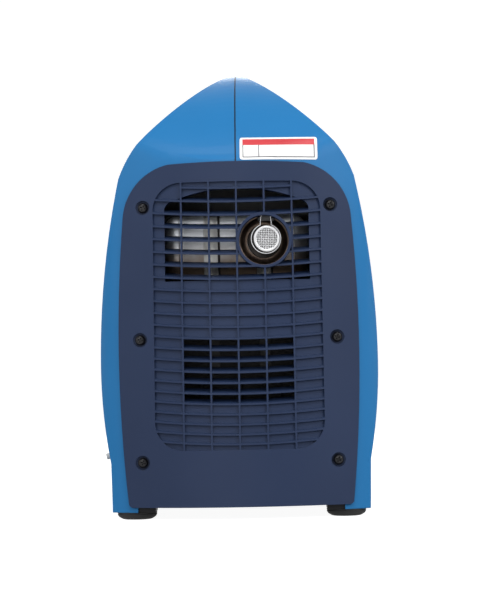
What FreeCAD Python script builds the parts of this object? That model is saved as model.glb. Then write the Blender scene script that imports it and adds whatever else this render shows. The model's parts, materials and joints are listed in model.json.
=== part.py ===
import FreeCAD, Part
import math
import os
import re

import Sketcher
from FreeCAD import Placement, Rotation, Vector

# Portable inverter generator in a closed carrying case.
# Frame: X across the case, -Y the exhaust end, +Y the control end, +Z up, ground at Z = 0.
# Everything is in millimetres. The driving dimensions are in the spreadsheet "Size".

SIZES = [
    # Case form: a pointed arch along Y, trimmed by the two end faces and the two end slopes.
    ("case_long", 520.0, "overall length over the two end covers, at their lower edges"),
    ("case_high", 455.0, "overall height, ground to crown"),
    ("case_half", 144.0, "half width at the belly, in the middle"),
    ("case_wall", 3.0, "moulded wall of the casings"),
    ("skirt_z", 7.0, "underside of the casings above ground"),
    ("crown_half", 3.5, "half width of the flat crown"),
    ("roof_half", 105.5, "half width where the roof meets the shoulder"),
    ("roof_drop", 87.5, "drop of the roof from crown to shoulder"),
    ("roof_bulge", 4.0, "rise of the roof arc over its chord"),
    ("shoulder_bulge", 1.5, "rise of the shoulder arc over its chord"),
    ("shoulder_half", 124.0, "half width under the shoulder"),
    ("shoulder_drop", 121.0, "drop from crown to the foot of the shoulder"),
    ("belly_z", 150.0, "height of the widest point"),
    ("hip_half", 135.0, "half width at the crease above the skirt"),
    ("hip_z", 54.0, "height of that crease"),
    ("skirt_half", 134.0, "half width at the lower edge"),
    ("straight_half", 60.0, "half length of the part with parallel sides"),
    ("end_taper", 10.5, "loss of half width from there to the very end"),
    ("crown_long", 80.0, "length of the level part of the crown"),
    ("ridge_fall", 0.08, "fall of the end slopes to either side, per millimetre"),
    ("plan_corner", 50.0, "plan radius of the corners between sides and ends"),
    # End faces: round in plan, leaning in at the top.
    ("face_radius", 250.0, "plan radius of the exhaust cover face"),
    ("front_radius", 300.0, "plan radius of the front cover face"),
    ("face_lean", 5.0, "lean of both end faces, degrees"),
    ("cover_thick", 3.0, "thickness of the end covers outside the casings"),
    # Outline of the end covers.
    ("cover_half", 117.5, "half width of an end cover at its widest"),
    ("cover_foot_half", 109.0, "half width at its lower edge"),
    ("cover_head_half", 112.5, "half width where its top corner starts"),
    ("cover_low", 12.0, "lower edge above ground"),
    ("cover_high", 347.0, "top edge above ground"),
    ("cover_corner", 46.0, "size of the top corners"),
    ("cover_reach", 110.0, "how far back the cutting bodies for the covers reach"),
    ("opening_half", 86.0, "half width of the opening behind a cover"),
    ("opening_low", 48.0, "lower edge of that opening"),
    ("opening_high", 330.0, "upper edge of that opening"),
    ("opening_corner", 28.0, "corner radius of that opening"),
    ("opening_reach", 150.0, "how near mid-length that opening reaches inside"),
    ("seat_gap", 0.5, "gap round what sits in an opening"),
    # Exhaust grille.
    ("grille_half", 82.0, "half width of the grille field"),
    ("grille_low", 66.5, "lower edge of the grille field"),
    ("grille_high", 327.0, "upper edge of the grille field"),
    ("grille_corner", 27.0, "corner radius of the grille field"),
    ("grille_deep", 2.5, "depth of the blind cells"),
    ("grille_back", 11.0, "depth of the ribs behind the casing face"),
    ("grille_cut", 40.0, "depth of the cutting bodies between the level ribs"),
    ("rib_thick", 1.8, "thickness of the ribs"),
    ("rib_pitch_x", 27.0, "pitch of the upright ribs"),
    ("rib_count_x", 5, "upright ribs"),
    ("rib_first", 6.6, "from the upper edge of the field to the first level rib"),
    ("rib_pitch_top", 13.3, "pitch of the level ribs at the top"),
    ("rib_pitch_step", 0.19, "loss of pitch from one level rib to the next"),
    ("rib_count_z", 23, "level ribs"),
    ("rib_slant", 16.0, "slope of the level ribs, down and outwards, degrees"),
    ("window_half", 70.5, "half width of the upper open window"),
    ("window_low", 230.5, "lower edge of the upper window"),
    ("window_side", 302.0, "top of the upper window's upright sides"),
    ("window_cut", 10.0, "size of its cut top corners, across"),
    ("window_rise", 8.0, "size of those corners, upwards"),
    ("window_high", 321.0, "upper edge of the upper window, in the middle"),
    ("vent_half", 54.0, "half width of the lower open window"),
    ("vent_low", 111.0, "lower edge of the lower window"),
    ("vent_high", 173.5, "upper edge of the lower window"),
    ("vent_corner", 1.0, "corner radius of the lower window"),
    # Exhaust outlet.
    ("outlet_x", 26.5, "distance of the exhaust outlet from the middle"),
    ("outlet_z", 269.0, "height of the exhaust outlet"),
    ("outlet_radius", 27.0, "outer radius of the outlet's collar"),
    ("outlet_wall", 2.75, "wall of the outlet's collar"),
    ("outlet_proud", 0.5, "how far the collar stands out of the grille at its foot"),
    ("outlet_deep", 22.0, "length of the collar"),
    # Cover screws.
    ("screw_x_top", 92.0, "distance of the top screws from the middle"),
    ("screw_x_mid", 96.0, "distance of the middle screws from the middle"),
    ("screw_x_low", 94.6, "distance of the low screws from the middle"),
    ("screw_z_top", 304.0, "height of the top screws"),
    ("screw_z_mid", 174.0, "height of the middle screws"),
    ("screw_z_low", 55.0, "height of the low screws"),
    ("screw_well", 7.0, "radius of the well over a screw"),
    ("screw_well_deep", 5.5, "depth of that well"),
    ("screw_cup", 1.6, "wall of the moulded cup round a screw well"),
    ("screw_head", 5.2, "radius of a screw head"),
    ("screw_head_high", 3.2, "height of a screw head"),
    ("screw_shank", 2.2, "radius of a screw shank"),
    ("screw_long", 9.0, "length of a screw shank"),
    ("screw_boss", 12.0, "radius of the casing boss behind a screw"),
    ("screw_boss_deep", 10.5, "depth of that boss behind the casing's face"),
    ("screw_cup_floor", 1.2, "floor of the moulded cup round a screw well"),
    ("screw_drive", 2.3, "radius of the drive hole in a screw head"),
    ("screw_drive_deep", 1.6, "depth of that drive hole"),
    ("screw_hole_gap", 0.1, "gap round a screw shank in the casing"),
    ("screw_play", 0.2, "gap round a screw shank in the cover"),
    ("fit_gap", 0.3, "gap between neighbouring curved faces"),
    # Carrying handle, filler well and openings in the casings.
    ("hand_long", 124.0, "length of the hand hole along the case"),
    ("hand_floor", 372.0, "height of the floor under the handle"),
    ("bar_low", 417.0, "underside of the handle bar"),
    ("bar_half", 20.0, "half width of the handle bar"),
    ("bar_corner", 12.0, "corner radius of the handle bar's underside"),
    ("filler_y", 128.0, "place of the fuel filler along the case"),
    ("well_radius", 44.0, "radius of the filler well"),
    ("well_floor", 400.0, "height of the filler well's floor"),
    ("base_half", 100.0, "half width of the opening under the case"),
    ("floor_z", 12.0, "top of the casings' lower flange"),
    ("hatch_y", -20.0, "middle of the maintenance opening along the case"),
    ("hatch_half", 72.0, "half length of the maintenance opening"),
    ("hatch_low", 84.0, "lower edge of the maintenance opening"),
    ("hatch_high", 262.0, "upper edge of the maintenance opening"),
    ("hatch_corner", 18.0, "corner radius of the maintenance opening"),
    ("hatch_gap", 0.4, "gap round the maintenance cover"),
    ("peg_radius", 3.0, "radius of the maintenance cover's locating pegs"),
    ("peg_long", 16.0, "length of those pegs from the widest point inwards"),
    ("peg_y", 52.0, "distance of those pegs from the cover's middle"),
    ("peg_z", 96.0, "height of those pegs"),
    ("hatch_deep", 30.0, "depth of the cut for that opening, from the widest point"),
    ("drain_y", -60.0, "place of the drain spout along the case"),
    ("drain_z", 56.0, "height of the drain spout where it leaves the wall"),
    ("drain_inset", 1.5, "distance of the drain spout's end from the widest point"),
    ("drain_radius", 3.2, "outer radius of the drain spout"),
    ("drain_cut", 20.0, "length of the cut for the drain spout, from its end"),
    ("drain_bore", 2.0, "bore radius of the drain spout"),
    ("drain_tilt", 14.0, "slope of the drain spout, down and outwards, degrees"),
    # Recoil starter.
    ("starter_y", 118.0, "place of the recoil pulley along the case"),
    ("crank_z", 118.0, "height of the crankshaft"),
    ("rope_reach", 42.0, "height of the rope above the crankshaft"),
    ("pocket_half", 20.0, "half length of the grip pocket along the case"),
    ("pocket_rise", 44.0, "half height of the grip pocket"),
    ("pocket_deep", 20.0, "depth of the grip pocket from the widest point"),
    ("pocket_corner", 8.0, "corner radius of the grip pocket"),
    ("guide_radius", 8.0, "outer radius of the rope guide"),
    ("rope_radius", 2.0, "radius of the starter rope"),
    # Feet and base.
    ("foot_x", 102.0, "distance of the feet from the middle"),
    ("foot_inset", 46.0, "distance of the feet from the case's ends"),
    ("foot_radius", 19.3, "radius of a foot"),
    ("foot_flat", 13.0, "radius of its flat underside"),
    ("base_thick", 3.0, "thickness of the base plate"),
    ("base_inset", 34.0, "distance of the base plate's edges from the case's ends"),
    ("base_lap", 10.0, "how far the base plate rests on each casing"),
    ("lug_wide", 17.0, "width of the base plate's lugs over the feet"),
    ("lug_long", 36.0, "length of those lugs"),
    # Front cover and control plate.
    ("front_window_half", 84.0, "half width of the control window"),
    ("front_window_low", 172.0, "lower edge of the control window"),
    ("front_window_high", 322.0, "upper edge of the control window"),
    ("front_window_corner", 27.0, "corner radius of the control window"),
    ("front_ring", 1.4, "wall of the well round the control plate"),
    ("front_back", 3.0, "depth of the front cover behind the casing face"),
    ("louvre_half", 74.0, "half width of the intake louvres"),
    ("louvre_low", 60.0, "lower edge of the intake louvres"),
    ("louvre_count", 9, "intake louvres"),
    ("louvre_pitch", 10.5, "pitch of the intake louvres"),
    ("louvre_open", 5.5, "height of a louvre's gap"),
    ("panel_thick", 3.0, "thickness of the control plate"),
    ("panel_inset", 26.0, "depth of the control plate behind the front face, at its middle"),
    ("panel_half", 90.0, "half width of the control plate"),
    ("panel_high", 156.0, "height of the control plate"),
    # Sockets, buttons and lamps on the control plate.
    ("socket_a_u", -50.0, "left-hand socket: place across the plate"),
    ("socket_b_u", 6.0, "right-hand socket: place across the plate"),
    ("socket_v", -26.0, "sockets: place up the plate"),
    ("socket_radius", 25.0, "radius of a socket's face"),
    ("socket_well", 19.5, "radius of a socket's well"),
    ("socket_deep", 17.0, "depth of a socket's well"),
    ("socket_rim", 3.0, "how far a socket's rim stands out of the plate"),
    ("pin_radius", 2.5, "radius of a socket's pin holes"),
    ("pin_pitch", 19.0, "pitch of a socket's pin holes"),
    ("lid_thick", 2.5, "thickness of a socket's lid"),
    ("hinge_radius", 2.4, "radius of a lid's hinge barrel"),
    ("hinge_pin", 1.2, "radius of a lid's hinge pin"),
    ("hinge_out", 2.6, "height of that pin over the socket's rim"),
    ("knob_u", 60.0, "run knob: place across the plate"),
    ("knob_v", 34.0, "run knob: place up the plate"),
    ("knob_radius", 19.0, "radius of the run knob"),
    ("knob_high", 14.0, "height of the run knob"),
    ("shaft_radius", 4.0, "radius of the run knob's shaft"),
    ("eco_u", 60.0, "eco switch: place across the plate"),
    ("eco_v", -12.0, "eco switch: place up the plate"),
    ("eco_wide", 14.0, "width of the eco switch"),
    ("eco_high", 20.0, "height of the eco switch"),
    ("eco_tilt", 9.0, "half throw of the eco switch, degrees"),
    ("eco_rocker", 7.6, "half length of the eco switch's rocker"),
    ("eco_rise", 6.0, "height of the rocker over its pivot"),
    ("eco_pivot", 4.5, "depth of the eco switch's pivot behind the plate's face"),
    ("button_u", 24.0, "breaker button: place across the plate"),
    ("button_v", 40.0, "breaker button: place up the plate"),
    ("button_radius", 5.0, "radius of the breaker button"),
    ("button_travel", 2.0, "travel of the breaker button"),
    ("dc_u", 60.0, "DC socket: place across the plate"),
    ("dc_v", -48.0, "DC socket: place up the plate"),
    ("dc_wide", 22.0, "width of the DC socket"),
    ("dc_high", 14.0, "height of the DC socket"),
    ("lamp_u", -66.0, "first lamp: place across the plate"),
    ("lamp_v", 40.0, "lamps: place up the plate"),
    ("lamp_pitch", 18.0, "pitch of the lamps"),
    ("lamp_radius", 3.2, "radius of a lamp"),
    ("earth_u", 24.0, "earth terminal: place across the plate"),
    ("earth_v", -58.0, "earth terminal: place up the plate"),
    ("earth_radius", 6.0, "radius of the earth terminal's nut"),
    # Fuel system.
    ("tank_half", 104.0, "half width of the fuel tank"),
    ("tank_back", -92.0, "rear end of the fuel tank"),
    ("tank_front", 158.0, "front end of the fuel tank"),
    ("tank_low", 304.0, "underside of the fuel tank"),
    ("tank_gap", 8.0, "gap between the tank and the casings' outside"),
    ("neck_radius", 20.0, "radius of the filler neck"),
    ("neck_gap", 2.0, "gap round the neck in the filler well's floor"),
    ("neck_bore", 16.0, "bore radius of the filler neck"),
    ("tank_clear", 1.0, "gap between the tank and the filler well"),
    ("neck_deep", 60.0, "depth of the neck's bore under the well's floor"),
    ("neck_high", 16.0, "how far the neck stands over the well's floor"),
    ("cap_radius", 25.0, "radius of the fuel cap"),
    ("cap_skirt", 3.4, "thickness of the fuel cap's skirt"),
    ("cap_top", 9.0, "thickness of the fuel cap's top"),
    ("cap_lift", 60.0, "how far the fuel cap lifts off"),
    ("gasket_thick", 2.0, "thickness of the cap's gasket"),
    ("vent_knob_radius", 7.0, "radius of the vent knob"),
    ("vent_knob_high", 6.0, "height of the vent knob"),
    ("vent_stem", 2.5, "radius of the vent knob's stem"),
    # Exhaust system.
    ("muffler_half", 72.0, "half length of the muffler's drum, across the case"),
    ("muffler_radius", 32.5, "radius of that drum"),
    ("muffler_z", 264.5, "height of its axis"),
    ("muffler_inset", 56.0, "distance of the muffler's rear from the case's end"),
    ("muffler_front", -132.0, "front of the muffler's inlet stub"),
    ("muffler_round", 20.0, "edge radius of the drum's ends"),
    ("muffler_wall", 2.0, "wall of the drum"),
    ("strap_x", 26.0, "distance of the drum's straps from the middle"),
    ("strap_wide", 14.0, "width of a strap"),
    ("strap_thick", 1.2, "thickness of a strap"),
    ("pad_rim", 7.0, "rim of the flat pad round the tailpipe"),
    ("inlet_rim", 3.5, "rim of the inlet stub"),
    ("bracket_half", 32.0, "half width of the muffler's bracket"),
    ("bracket_thick", 3.0, "thickness of that bracket"),
    ("bracket_foot", 12.0, "width of its feet"),
    ("bracket_drop", 92.0, "height of its feet"),
    ("saddle_high", 6.0, "height of its saddle"),
    ("pipe_radius", 11.0, "outer radius of the tailpipe"),
    ("pipe_wall", 1.5, "wall of the tailpipe"),
    ("pipe_x", 29.3, "distance of the tailpipe's axis from the middle"),
    ("pipe_z", 270.6, "height of the tailpipe's axis"),
    ("pipe_inset", 31.0, "distance of the tailpipe's open end from the case's end"),
    ("dish_inset", 46.0, "distance of the outlet dish's inner end from the case's end"),
    ("dish_small", 16.5, "inner radius of the outlet dish"),
    ("dish_thick", 1.0, "thickness of the outlet dish"),
    ("dish_deep", 10.0, "depth of the outlet dish"),
    ("screen_ring", 13.0, "outer radius of the arrestor screen's ring"),
    ("screen_thick", 2.0, "thickness of the arrestor's end"),
    ("screen_radius", 10.2, "radius of the arrestor screen"),
    ("clamp_thick", 1.2, "thickness of the screen's clamp band"),
    ("clamp_wide", 6.0, "width of the screen's clamp band"),
    ("clamp_ear", 6.0, "height of the clamp's ears"),
    ("clamp_gap", 8.0, "gap between the clamp's ears"),
    ("shield_gap", 4.0, "gap between muffler and heat shield"),
    ("shield_thick", 1.2, "thickness of the heat shield"),
    ("shield_half", 60.0, "half length of the heat shield"),
    ("shield_foot", 6.0, "height of the heat shield's lower edge over the drum's axis"),
    ("spacer_radius", 5.0, "radius of the heat shield's spacers"),
    ("spacer_x", 40.0, "distance of those spacers from the middle"),
    # Engine.
    ("case_x", 58.0, "half width of the crankcase"),
    ("case_rear", -112.0, "rear face of the crankcase"),
    ("case_front", -8.0, "front face of the crankcase"),
    ("case_low", 62.0, "underside of the crankcase"),
    ("case_top", 180.0, "top of the crankcase"),
    ("case_shell", 7.0, "wall of the crankcase"),
    ("bore_y", -60.0, "place of the cylinder along the case"),
    ("bore_radius", 24.0, "radius of the cylinder bore"),
    ("barrel_radius", 31.0, "outer radius of the cylinder barrel"),
    ("fin_half", 45.0, "half size of the cooling fins"),
    ("fin_thick", 2.5, "thickness of a cooling fin"),
    ("fin_pitch", 7.0, "pitch of the cooling fins"),
    ("fin_count", 7, "cooling fins on the cylinder"),
    ("barrel_high", 54.0, "height of the cylinder"),
    ("head_high", 26.0, "height of the cylinder head"),
    ("rocker_high", 16.0, "height of the rocker cover"),
    ("shaft_r", 10.0, "radius of the crankshaft"),
    ("web_radius", 30.0, "radius of the crank webs"),
    ("web_thick", 9.0, "thickness of a crank web"),
    ("crank_half", 16.0, "half width over the crank webs"),
    ("crank_pin", 9.0, "radius of the crank pin"),
    ("crank_throw", 18.0, "throw of the crank"),
    ("shaft_gap", 0.04, "running clearance of the crankshaft, on the radius"),
    ("mount_radius", 11.0, "radius of an engine mount"),
    # Alternator, fan and starter.
    ("rotor_radius", 70.0, "outer radius of the rotor"),
    ("rotor_wall", 9.0, "wall of the rotor"),
    ("rotor_rear", 14.0, "rear edge of the rotor"),
    ("rotor_front", 62.0, "front face of the rotor"),
    ("stator_radius", 58.5, "outer radius of the stator"),
    ("stator_rear", 18.0, "rear face of the stator"),
    ("stator_teeth", 12, "teeth of the stator"),
    ("fan_radius", 72.0, "radius of the cooling fan"),
    ("fan_deep", 22.0, "depth of the cooling fan's blades"),
    ("fan_front", 84.0, "front edge of the fan's hub"),
    ("fan_blades", 12, "blades of the cooling fan"),
    ("shroud_radius", 80.0, "inner radius of the fan shroud"),
    ("shroud_wall", 3.0, "wall of the fan shroud"),
    ("shroud_front", 96.0, "front edge of the fan shroud"),
    ("recoil_radius", 56.0, "outer radius of the recoil housing's drum"),
    ("recoil_front", 140.0, "front face of the recoil housing"),
    ("pulley_radius", 46.0, "outer radius of the recoil pulley"),
    ("pulley_thick", 12.0, "thickness of the recoil pulley"),
    ("post_radius", 6.0, "radius of the recoil pulley's post"),
    ("spring_radius", 34.0, "outer radius of the recoil spring"),
    ("grip_half", 34.0, "half length of the starter grip"),
    ("grip_round", 8.5, "radius of the starter grip"),
    ("rope_pull", 0.55, "pull of the starter rope, metres"),
    # Intake, electrics and service parts.
    ("filter_rear", -96.0, "rear end of the air filter case"),
    ("filter_front", 16.0, "front end of the air filter case"),
    ("filter_low", 178.0, "underside of the air filter case"),
    ("filter_high", 268.0, "top of the air filter case"),
    ("filter_inset", 16.0, "distance of the air filter case from the widest point"),
    ("filter_right", -96.0, "inner face of the air filter case"),
    ("filter_wall", 2.5, "wall of the air filter case"),
    ("carb_x", -83.0, "middle of the carburettor"),
    ("port_z", 249.0, "height of the intake and exhaust ports"),
    ("port_radius", 9.0, "bore radius of the ports"),
    ("inverter_half", 84.0, "half width of the inverter module"),
    ("inverter_rear", 152.0, "rear face of the inverter module"),
    ("inverter_inset", 60.0, "distance of the inverter module from the case's end"),
    ("inverter_high", 96.0, "height of the inverter module"),
    ("inverter_fins", 9, "fins of the inverter module"),
    ("oil_y", -66.0, "place of the oil filler along the case"),
    ("oil_z", 100.0, "height of the oil filler"),
    ("oil_radius", 12.0, "outer radius of the oil filler's neck"),
    ("oil_cap_radius", 15.0, "radius of the oil cap"),
    ("latch_radius", 10.0, "radius of the maintenance cover's latch knob"),
    ("latch_z", 244.0, "height of that knob"),
    ("latch_inset", 10.0, "depth of the knob's seat from the widest point"),
    ("latch_cup", 2.0, "wall and floor of the moulded cup round that knob"),
    ("latch_gap", 1.5, "gap round that knob in its cup"),
    ("latch_high", 9.0, "height of that knob"),
    # Cutting bodies.
    ("over", 10.0, "how far a cutting body reaches past what it cuts"),
]

# Places that follow from the sizes above, as formulas in the same sheet.
PLACES = [
    ("foot_y", "case_long / 2 - foot_inset", "distance of the feet from mid-length"),
    ("base_long", "case_long - 2 * base_inset", "length of the base plate"),
    ("muffler_rear", "muffler_inset - case_long / 2", "rear face of the muffler"),
    ("pipe_rear", "pipe_inset - case_long / 2", "open end of the tailpipe"),
    ("dish_front", "dish_inset - case_long / 2", "inner end of the outlet dish"),
    ("inverter_front", "case_long / 2 - inverter_inset", "front face of the inverter module"),
    ("filter_left", "filter_inset - case_half", "outer face of the air filter case"),
    ("latch_floor", "case_half - latch_inset", "distance of the latch knob's seat from the middle"),
    ("rope_z", "crank_z + rope_reach", "height of the starter rope"),
    ("pocket_floor", "case_half - pocket_deep", "floor of the grip pocket"),
    ("seat_z", "floor_z + base_thick", "top of the base plate"),
    ("head_z", "case_top + barrel_high", "underside of the cylinder head"),
    ("rocker_z", "head_z + head_high", "underside of the rocker cover"),
]

doc = FreeCAD.newDocument("Generator")
sheet = doc.addObject("Spreadsheet::Sheet", "Size")
FORMULAS = [(alias, "=" + text, note) for alias, text, note in PLACES]
for row, (alias, content, note) in enumerate(SIZES + FORMULAS, start=1):
    sheet.set(f"A{row}", str(content))
    sheet.set(f"B{row}", note)
    sheet.setAlias(f"A{row}", alias)
doc.recompute()


class SheetReader:
    """The cells of the spreadsheet as plain numbers, for the shapes that are worked out in code."""

    def __getattr__(self, alias):
        return float(sheet.get(alias))


S = SheetReader()


# ---------------------------------------------------------------- case form


def bulged(start, end, rise):
    """An arc from start to end in an XZ plane, rising over its chord to the right of its way."""
    chord = end - start
    right = Vector(chord.z, 0, -chord.x).normalize()
    return Part.Arc(start, (start + end) * 0.5 + right * rise, end).toShape()


def arch_half(inset):
    """The space to the left of the arch's right-hand side, along the whole case."""
    points = [
        Vector(S.skirt_half - inset, 0, S.skirt_z + inset),
        Vector(S.hip_half - inset, 0, S.hip_z),
        Vector(S.case_half - inset, 0, S.belly_z),
        Vector(S.shoulder_half - 0.97 * inset, 0, S.case_high - S.shoulder_drop - 0.2 * inset),
        Vector(S.roof_half - 0.75 * inset, 0, S.case_high - S.roof_drop - 0.7 * inset),
        Vector(S.crown_half - 0.4 * inset, 0, S.case_high - 1.1 * inset),
        Vector(-1.5 * S.case_half, 0, S.case_high - 1.1 * inset),
        Vector(-1.5 * S.case_half, 0, S.skirt_z + inset),
    ]
    side_rises = [(points[2].x - points[i].x) / 4 for i in (1, 3)]
    edges = [Part.makeLine(points[0], points[1])]
    for i, rise in enumerate(side_rises + [S.shoulder_bulge, S.roof_bulge]):
        edges.append(bulged(points[i + 1], points[i + 2], rise))
    edges += [Part.makeLine(points[i], points[(i + 1) % 8]) for i in (5, 6, 7)]
    face = Part.Face(Part.Wire(edges))
    face.translate(Vector(0, -S.case_long, 0))
    return face.extrude(Vector(0, 2 * S.case_long, 0))


def mirrored(solid, normal):
    return solid.mirror(Vector(0, 0, 0), normal)


def arch_form(inset):
    """The pointed arch along Y, with parallel sides in the middle and tapering ends."""
    straight = arch_half(inset)
    taper = math.degrees(math.atan(S.end_taper / (S.case_long / 2 - S.straight_half)))
    form = straight.common(mirrored(straight, Vector(1, 0, 0)))
    for side in (-1, 1):
        tapered = straight.copy()
        tapered.rotate(Vector(S.case_half - inset, side * S.straight_half, 0), Vector(0, 0, 1), side * taper)
        form = form.common(tapered).common(mirrored(tapered, Vector(1, 0, 0)))
    return form


def slope_form(inset):
    """Everything under the crown and the two end slopes, which meet in a low ridge."""
    lean = math.tan(math.radians(S.face_lean))
    head_y = S.case_long / 2 - S.cover_thick - (S.cover_high - S.cover_low) * lean
    run, fall = head_y - S.crown_long / 2, S.case_high - S.cover_high - 2.0
    radius = (run ** 2 + fall ** 2) / (2 * fall)
    bend_y, centre_z = S.crown_long / 2, S.case_high - radius
    steep = math.radians(80.0)

    def on_arc(angle, side):
        reach = radius - inset
        return Vector(0, side * (bend_y + reach * math.sin(angle)), centre_z + reach * math.cos(angle))

    corners = [Vector(0, side * S.case_long, z) for side in (1, -1) for z in (200.0, -50.0)]
    edges = [
        Part.makeLine(corners[3], corners[2]),
        Part.makeLine(corners[2], on_arc(steep, -1)),
        Part.Arc(on_arc(steep, -1), on_arc(steep / 2, -1), on_arc(0, -1)).toShape(),
        Part.makeLine(on_arc(0, -1), on_arc(0, 1)),
        Part.Arc(on_arc(0, 1), on_arc(steep / 2, 1), on_arc(steep, 1)).toShape(),
        Part.makeLine(on_arc(steep, 1), corners[0]),
        Part.makeLine(corners[0], corners[1]),
        Part.makeLine(corners[1], corners[3]),
    ]
    reach = 1.5 * S.case_half
    side_view = Part.Face(Part.Wire(edges))
    side_view.translate(Vector(-reach, 0, 0))
    half = side_view.extrude(Vector(2 * reach, 0, 0))
    half.rotate(Vector(0, 0, S.case_high), Vector(0, 1, 0), math.degrees(math.atan(S.ridge_fall)))
    return half.common(mirrored(half, Vector(1, 0, 0)))


def end_form(radius, inset, side, corner=None):
    """Everything behind one end face: round in plan, leaning, with rounded corners to the sides.

    side is -1 for the exhaust end and 1 for the control end. Without a corner the round runs on.
    """
    face = S.case_long / 2 - inset
    arc_radius = radius - inset
    low, high = -20.0, S.case_high + 40.0
    far = -S.case_long
    if corner is None:
        wide = arc_radius * 0.8
        turn = math.asin(0.8)
    else:
        wide = S.case_half + 1.0 - (inset - S.cover_thick)
        turn = math.asin((wide - corner) / (arc_radius - corner))
    join = Vector(arc_radius * math.sin(turn), face - arc_radius * (1.0 - math.cos(turn)), low)
    join_left = Vector(-join.x, join.y, low)
    edges = [Part.Arc(join, Vector(0, face, low), join_left).toShape()]
    foot, foot_left = join, join_left
    if corner is not None:
        hub = join - Vector(math.sin(turn), math.cos(turn), 0) * corner
        half = (math.pi / 2 + turn) / 2
        middle = hub + Vector(math.sin(half), math.cos(half), 0) * corner
        foot = hub + Vector(corner, 0, 0)
        foot_left = Vector(-foot.x, foot.y, low)
        edges.insert(0, Part.Arc(foot, middle, join).toShape())
        edges.append(Part.Arc(join_left, Vector(-middle.x, middle.y, low), foot_left).toShape())
    edges += [
        Part.makeLine(foot_left, Vector(-wide, far, low)),
        Part.makeLine(Vector(-wide, far, low), Vector(wide, far, low)),
        Part.makeLine(Vector(wide, far, low), foot),
    ]
    solid = Part.Face(Part.Wire(edges)).extrude(Vector(0, 0, high - low))
    solid.rotate(Vector(0, S.case_long / 2, S.cover_low), Vector(1, 0, 0), S.face_lean)
    return mirrored(solid, Vector(0, 1, 0)) if side < 0 else solid


def case_form(inset):
    """The outside of the casings, drawn in by inset."""
    depth = inset + S.cover_thick
    corner = S.plan_corner - inset
    form = arch_form(inset).common(slope_form(inset))
    form = form.common(end_form(S.face_radius, depth, -1, corner))
    return form.common(end_form(S.front_radius, depth, 1, corner))


def face_y(x, z, inset=0.0, side=-1):
    """Where an end face, drawn in by inset, lies at x and z."""
    radius = (S.face_radius if side < 0 else S.front_radius) - inset
    lean = math.radians(S.face_lean)
    back = -inset - radius + math.sqrt(radius ** 2 - x ** 2)
    up = (z - S.cover_low - back * math.sin(lean)) / math.cos(lean)
    return side * (S.case_long / 2 + back * math.cos(lean) - up * math.sin(lean))


def cover_outline(inset, y0, y1):
    """A prism along Y of the end covers' outline, drawn in by inset."""
    head_z = S.cover_high - 1.2 * S.cover_corner
    corner = S.cover_corner
    right = [
        Vector(S.cover_foot_half - 4.0 - inset, y0, S.cover_low + inset),
        Vector(S.cover_foot_half - inset, y0, S.cover_low + 4.0 + inset),
        Vector(S.cover_head_half - inset, y0, head_z),
        Vector(S.cover_head_half - corner - 0.4 * inset, y0, S.cover_high - 1.5 - inset),
    ]
    left = [Vector(-p.x, p.y, p.z) for p in right]
    side_rise = S.cover_half - (S.cover_foot_half + S.cover_head_half) / 2
    edges = [
        bulged(right[0], right[1], 1.2),
        bulged(right[1], right[2], side_rise),
        bulged(right[2], right[3], 0.27 * corner),
        bulged(right[3], left[3], 1.5),
        bulged(left[3], left[2], 0.27 * corner),
        bulged(left[2], left[1], side_rise),
        bulged(left[1], left[0], 1.0),
        Part.makeLine(left[0], right[0]),
    ]
    return Part.Face(Part.Wire(edges)).extrude(Vector(0, y1 - y0, 0))


def rounded_prism(half, low, high, corner, y0, y1, middle=0.0):
    """A prism along Y of a rounded rectangle, half wide each side of middle, from low to high."""
    x0, x1 = middle - half + corner, middle + half - corner
    z0, z1 = low + corner, high - corner
    arcs = []
    for i, (x, z) in enumerate([(x1, z0), (x1, z1), (x0, z1), (x0, z0)]):
        turns = [math.radians(90.0 * i + turn) for turn in (-90.0, -45.0, 0.0)]
        arcs.append([Vector(x + corner * math.cos(a), y0, z + corner * math.sin(a)) for a in turns])
    edges = []
    for last, arc in zip(arcs[-1:] + arcs[:-1], arcs):
        edges += [Part.makeLine(last[2], arc[0]), Part.Arc(*arc).toShape()]
    return Part.Face(Part.Wire(edges)).extrude(Vector(0, y1 - y0, 0))


def side_prism(side, middle, half, low, high, corner, depth):
    """A prism along X of a rounded rectangle, from outside the case's side to depth in it."""
    x0, x1 = S.case_half - depth, S.case_half + S.over
    prism = rounded_prism(half, low, high, corner, x0, x1, -side * middle)
    prism.rotate(Vector(0, 0, 0), Vector(0, 0, 1), -side * 90.0)
    return prism


def block(x0, x1, y0, y1, z0, z1):
    return Part.makeBox(x1 - x0, y1 - y0, z1 - z0, Vector(x0, y0, z0))


def rod(radius, start, length, way):
    return Part.makeCylinder(radius, length, start, way)


def feature(label, shape):
    """A piece whose form is worked out in code, as a document object with its own label."""
    piece = doc.addObject("Part::Feature", label)
    piece.Shape = shape
    piece.Placement = Placement()
    piece.Label = label
    NODES.append(piece)
    return piece


NODES = []
FRONT, BACK, UP = Vector(0, -1, 0), Vector(0, 1, 0), Vector(0, 0, 1)


# ---------------------------------------------------------------- casings

SCREWS = [
    (side * getattr(S, "screw_x_" + row), getattr(S, "screw_z_" + row))
    for row in ("top", "mid", "low")
    for side in (-1, 1)
]


def hand_hole(grow):
    """The space cut away round the handle bar, grown by grow."""
    half = S.hand_long / 2 + grow
    wide = 1.2 * S.case_half
    top = S.case_high + 2 * S.over
    space = block(-wide, wide, -half, half, S.hand_floor - grow, top)
    reach = half + S.over
    bar = rounded_prism(
        S.bar_half - grow, S.bar_low + grow, 1.2 * top, S.bar_corner - grow, -reach, reach
    )
    return space.cut(bar)


def grip_pocket(grow):
    """The pocket for the starter grip in the right-hand side, grown by grow."""
    rise = S.pocket_rise + grow
    return side_prism(
        1, S.starter_y, S.pocket_half + grow, S.rope_z - rise, S.rope_z + rise,
        S.pocket_corner + grow, S.pocket_deep + grow,
    )


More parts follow.
